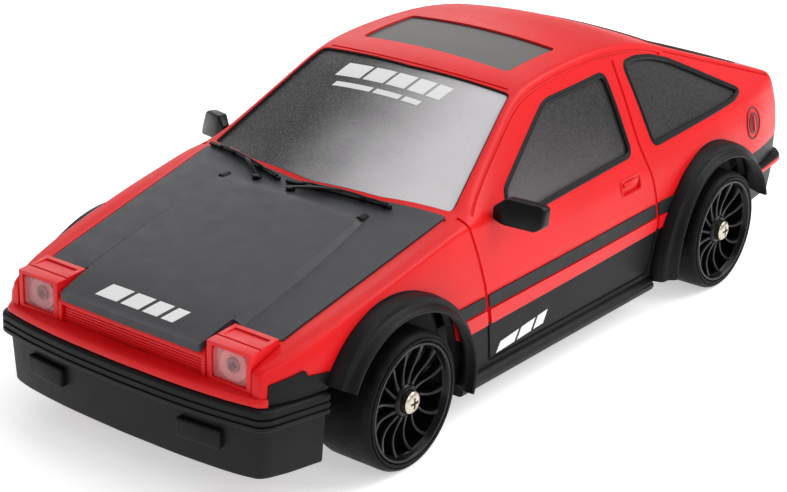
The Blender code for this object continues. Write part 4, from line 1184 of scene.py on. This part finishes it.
def make_skirts():
    profile = [(33.4, 5.4), (35.9, 5.4), (36.5, 5.7), (36.75, 6.3), (36.75, 6.9), (36.45, 7.2), (36.45, 7.5),
               (36.1, 7.9), (35.4, 8.2), (33.4, 8.2)]
    for label, side in SIDES:
        rings = [[(side * x, y, z) for x, z in profile] for y in np.linspace(-40.6, 30.4, 24)]
        stand_in(loft("skirt_" + label, rings, "trim", smooth=28), "trim_black",
                 "side_skirt_" + label)


def make_mirrors():
    """Door mirrors: a stalk at the door, a wedge-shaped head and its glass."""
    head = [[(34.4, -30.6, 39.0), (34.4, -28.4, 39.0), (34.4, -28.4, 41.4), (34.4, -30.6, 41.4)],
            [(36.6, -30.6, 38.2), (36.6, -27.4, 38.2), (36.6, -26.8, 43.2), (36.6, -29.6, 43.4)],
            [(42.6, -28.2, 37.4), (42.6, -24.0, 37.4), (42.6, -23.4, 42.0), (42.6, -26.4, 42.4)],
            [(43.6, -27.0, 38.2), (43.6, -24.4, 38.2), (43.6, -24.0, 41.4), (43.6, -26.0, 41.6)]]
    glass = [head[1][1], head[1][2], head[2][2], head[2][1]]
    for label, side in SIDES:
        rings = [[(side * x, y, z) for x, y, z in ring] for ring in head]
        mirror = bevel(loft("mirror_head_" + label, rings, "gloss"), 0.5, 4, 12)
        centre = np.mean(glass, axis=0)
        normal = np.cross(np.subtract(glass[1], glass[0]), np.subtract(glass[3], glass[0]))
        normal = normal / np.linalg.norm(normal) * (1 if normal[1] > 0 else -1)
        plates = [[tuple((centre + (np.array(p) - centre) * 0.74 + normal * lift) * (side, 1, 1))
                   for p in glass] for lift in (-0.3, 0.14)]
        plate = bevel(loft("mirror_glass_" + label, plates, "mirror"), 0.1, 2)
        stand_in(join(mirror, plate), "mirror_black", "side_mirror_" + label)


# ---- wheels ----
TYRE_PROFILE = [(27.5, 11.6), (27.25, 12.0), (27.15, 12.6), (27.35, 13.0), (27.8, 13.3), (28.5, 13.47),
                (29.2, 13.5), (38.8, 13.5), (39.5, 13.43), (40.05, 13.2), (40.4, 12.85), (40.48, 12.6),
                (40.3, 12.5), (40.3, 12.36), (40.62, 12.26), (40.68, 12.0), (40.5, 11.78), (40.0, 11.6)]
RIM_PROFILE = [(27.7, 11.58), (40.0, 11.58), (40.35, 11.62), (40.58, 11.45), (40.55, 11.05),
               (40.25, 10.85), (39.7, 10.75), (39.3, 10.5), (36.0, 10.4), (27.7, 10.4)]
HUB_PROFILE = [(33.0, 2.35), (33.0, 3.2), (38.2, 3.3), (38.8, 3.2), (39.15, 2.95), (39.35, 2.6),
               (39.3, 2.35), (38.9, 2.25)]
SCREW_PROFILE = [(39.0, 0.02), (39.0, 2.05), (39.9, 2.2), (40.3, 2.15), (40.6, 1.85), (40.78, 1.3),
                 (40.85, 0.6), (40.86, 0.02)]


def make_spokes(name, side, y, material):
    """Thin bowed spokes, dished between the hub and the rim."""
    verts, faces = [], []
    rows = 14
    for k in range(SPOKES):
        start = len(verts)
        for t in np.linspace(0, 1, rows):
            radius = 2.9 + 7.75 * t
            turn = 2 * pi * (k + 0.5) / SPOKES + side * 0.2 * sin(pi * t * 0.85)
            width = 0.62 - 0.3 * sin(pi * t) ** 0.8 + 0.1 * t
            front = 38.75 - 0.75 * sin(pi * t) + 0.85 * t
            deep = 1.5
            for across, out in ((-1, -deep), (-1, -0.35), (-0.55, 0), (0.55, 0), (1, -0.35), (1, -deep)):
                r_cos, r_sin = cos(turn), sin(turn)
                verts.append((side * (front + out), y + radius * r_sin + across * width * r_cos,
                              AXLE_Z + radius * r_cos - across * width * r_sin))
        for j in range(rows - 1):
            for i in range(6):
                a, b = start + j * 6 + i, start + j * 6 + (i + 1) % 6
                faces.append((a, b, b + 6, a + 6))
        faces.append(tuple(range(start, start + 6)))
        faces.append(tuple(range(len(verts) - 6, len(verts))))
    return make(name, verts, faces, material, smooth=45)


def make_wheel(label, side, y, body):
    tyre = lathe("slick_" + label, TYRE_PROFILE, side, y, "rubber", smooth=24)
    stand_in(tyre, "tyre_black", "tyre_" + label, body=body)
    rim = lathe("wheel_rim_" + label, RIM_PROFILE, side, y, "rim", smooth=24)
    hub = lathe("wheel_hub_" + label, HUB_PROFILE, side, y, "rim", sides=48, smooth=24)
    spokes = make_spokes("wheel_spokes_" + label, side, y, "rim")
    stand_in(join(rim, hub, spokes), "rim_black", "rim_" + label, body=body)
    screw = lathe("hub_screw_" + label, SCREW_PROFILE, side, y, "screw", sides=40, smooth=28)
    slots = []
    for part, wide, high in (("level", 1.15, 0.27), ("upright", 0.27, 1.15)):
        slots.append(box(f"slot_{part}_{label}", (40.05, y - wide, AXLE_Z - high),
                         (42, y + wide, AXLE_Z + high), side=side))
    carve(screw, *slots)
    soft_edges(screw, 28)
    stand_in(screw, "screw_steel", "wheel_screw_" + label, body=body)


def make_wheels():
    for label, side in SIDES:
        make_wheel("front_" + label, side, FRONT_AXLE_Y, "front_wheel_" + label)
        make_wheel("rear_" + label, side, REAR_AXLE_Y, "rear_axle")


# ---- camera, light, floor ----
CAMERA_PLACE = (236.4, -329.95, 177.55)
CAMERA_AZIMUTH = 36.94
CAMERA_ELEVATION = 21.88
CAMERA_ROLL = 1.97
CAMERA_LENS = 92.77


def make_camera():
    """The camera of the photograph; roll turns it about its line of sight."""
    azimuth, elevation, roll = (radians(v) for v in (CAMERA_AZIMUTH, CAMERA_ELEVATION, CAMERA_ROLL))
    back = Vector((cos(elevation) * sin(azimuth), -cos(elevation) * cos(azimuth),
                   sin(elevation)))
    level = Vector((cos(azimuth), sin(azimuth), 0))
    upright = back.cross(level)
    right = level * cos(roll) + upright * sin(roll)
    up = back.cross(right)
    data = bpy.data.cameras.new("camera")
    data.lens = CAMERA_LENS
    data.sensor_width = 36
    data.clip_start = 0.01
    camera = bpy.data.objects.new("camera", data)
    rotation = Matrix((right, up, back)).transposed().to_4x4()
    camera.matrix_world = Matrix.Translation(Vector(CAMERA_PLACE) * MM) @ rotation
    bpy.context.scene.collection.objects.link(camera)
    bpy.context.scene.camera = camera


LIGHT_AIM = (0, 0, 20)
WORLD_STRENGTH = 0.34
FLOOR_GLOW = 0.5


def area_light(name, place, size, power):
    data = bpy.data.lights.new(name, "AREA")
    data.shape = "RECTANGLE"
    data.size, data.size_y = (s * MM for s in size)
    data.energy = power
    light = bpy.data.objects.new(name, data)
    offset = Vector(LIGHT_AIM) - Vector(place)
    turn = offset.to_track_quat("-Z", "Y").to_matrix().to_4x4()
    light.matrix_world = Matrix.Translation(Vector(place) * MM) @ turn
    bpy.context.scene.collection.objects.link(light)


def make_studio():
    steps = 12
    ticks = np.linspace(-3000, 3000, steps + 1)
    verts = [(x, y, 0) for y in ticks for x in ticks]
    corners = [j * (steps + 1) + i for j in range(steps) for i in range(steps)]
    faces = [(a, a + 1, a + steps + 2, a + steps + 1) for a in corners]
    make("floor", verts, faces, "floor")
    world = bpy.data.worlds.new("studio")
    world.use_nodes = True
    background = world.node_tree.nodes["Background"]
    background.inputs["Color"].default_value = (1, 1, 1, 1)
    background.inputs["Strength"].default_value = WORLD_STRENGTH
    bpy.context.scene.world = world
    area_light("softbox_above", (60, 200, 740), (700, 560), 2.0)
    area_light("softbox_rear_right", (420, 460, 560), (620, 460), 3.4)
    area_light("softbox_rear_left", (-560, 440, 430), (560, 460), 1.3)
    area_light("softbox_right", (720, -160, 420), (460, 420), 1.2)
    area_light("softbox_front", (-200, -700, 520), (420, 300), 0.5)
    bpy.context.scene.view_settings.view_transform = "Standard"


# ---- assembly ----
CARRIED = {
    "nylon": ["chassis_tub", "front_gearbox_cover", "rear_gearbox_cover", "battery_cover", "servo_case",
              "power_switch_slider", "steering_knuckle_left", "steering_knuckle_right", "servo_arm",
              "tie_rod"],
    "acetal": ["rear_drive_gear", "front_axle_spool", "motor_pinion"],
    "shaft": ["center_shaft", "rear_axle_shaft", "stub_axle_left", "stub_axle_right", "dogbone_left",
              "dogbone_right", "drive_motor"],
    "screw": ["battery_cover_screw"],
    "board": ["circuit_board"],
    "wrap": ["battery_pack"],
}


def finish_carried_nodes(frame):
    for finish, names in CARRIED.items():
        for name in names:
            mesh = frame["nodes"][name].data
            mesh.materials.clear()
            mesh.materials.append(FINISHES[finish])


def main():
    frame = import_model()
    make_finishes()
    make_camera()
    make_studio()
    make_shell()
    make_glazing()
    make_bonnet()
    make_wipers()
    make_side_bands()
    make_handles_and_caps()
    make_graphics()
    make_bumpers()
    make_nose_ribs()
    make_headlamps()
    make_tail_lamps()
    make_flares()
    make_arch_liners()
    make_corner_panels()
    make_skirts()
    make_mirrors()
    make_wheels()
    finish_carried_nodes(frame)


main()
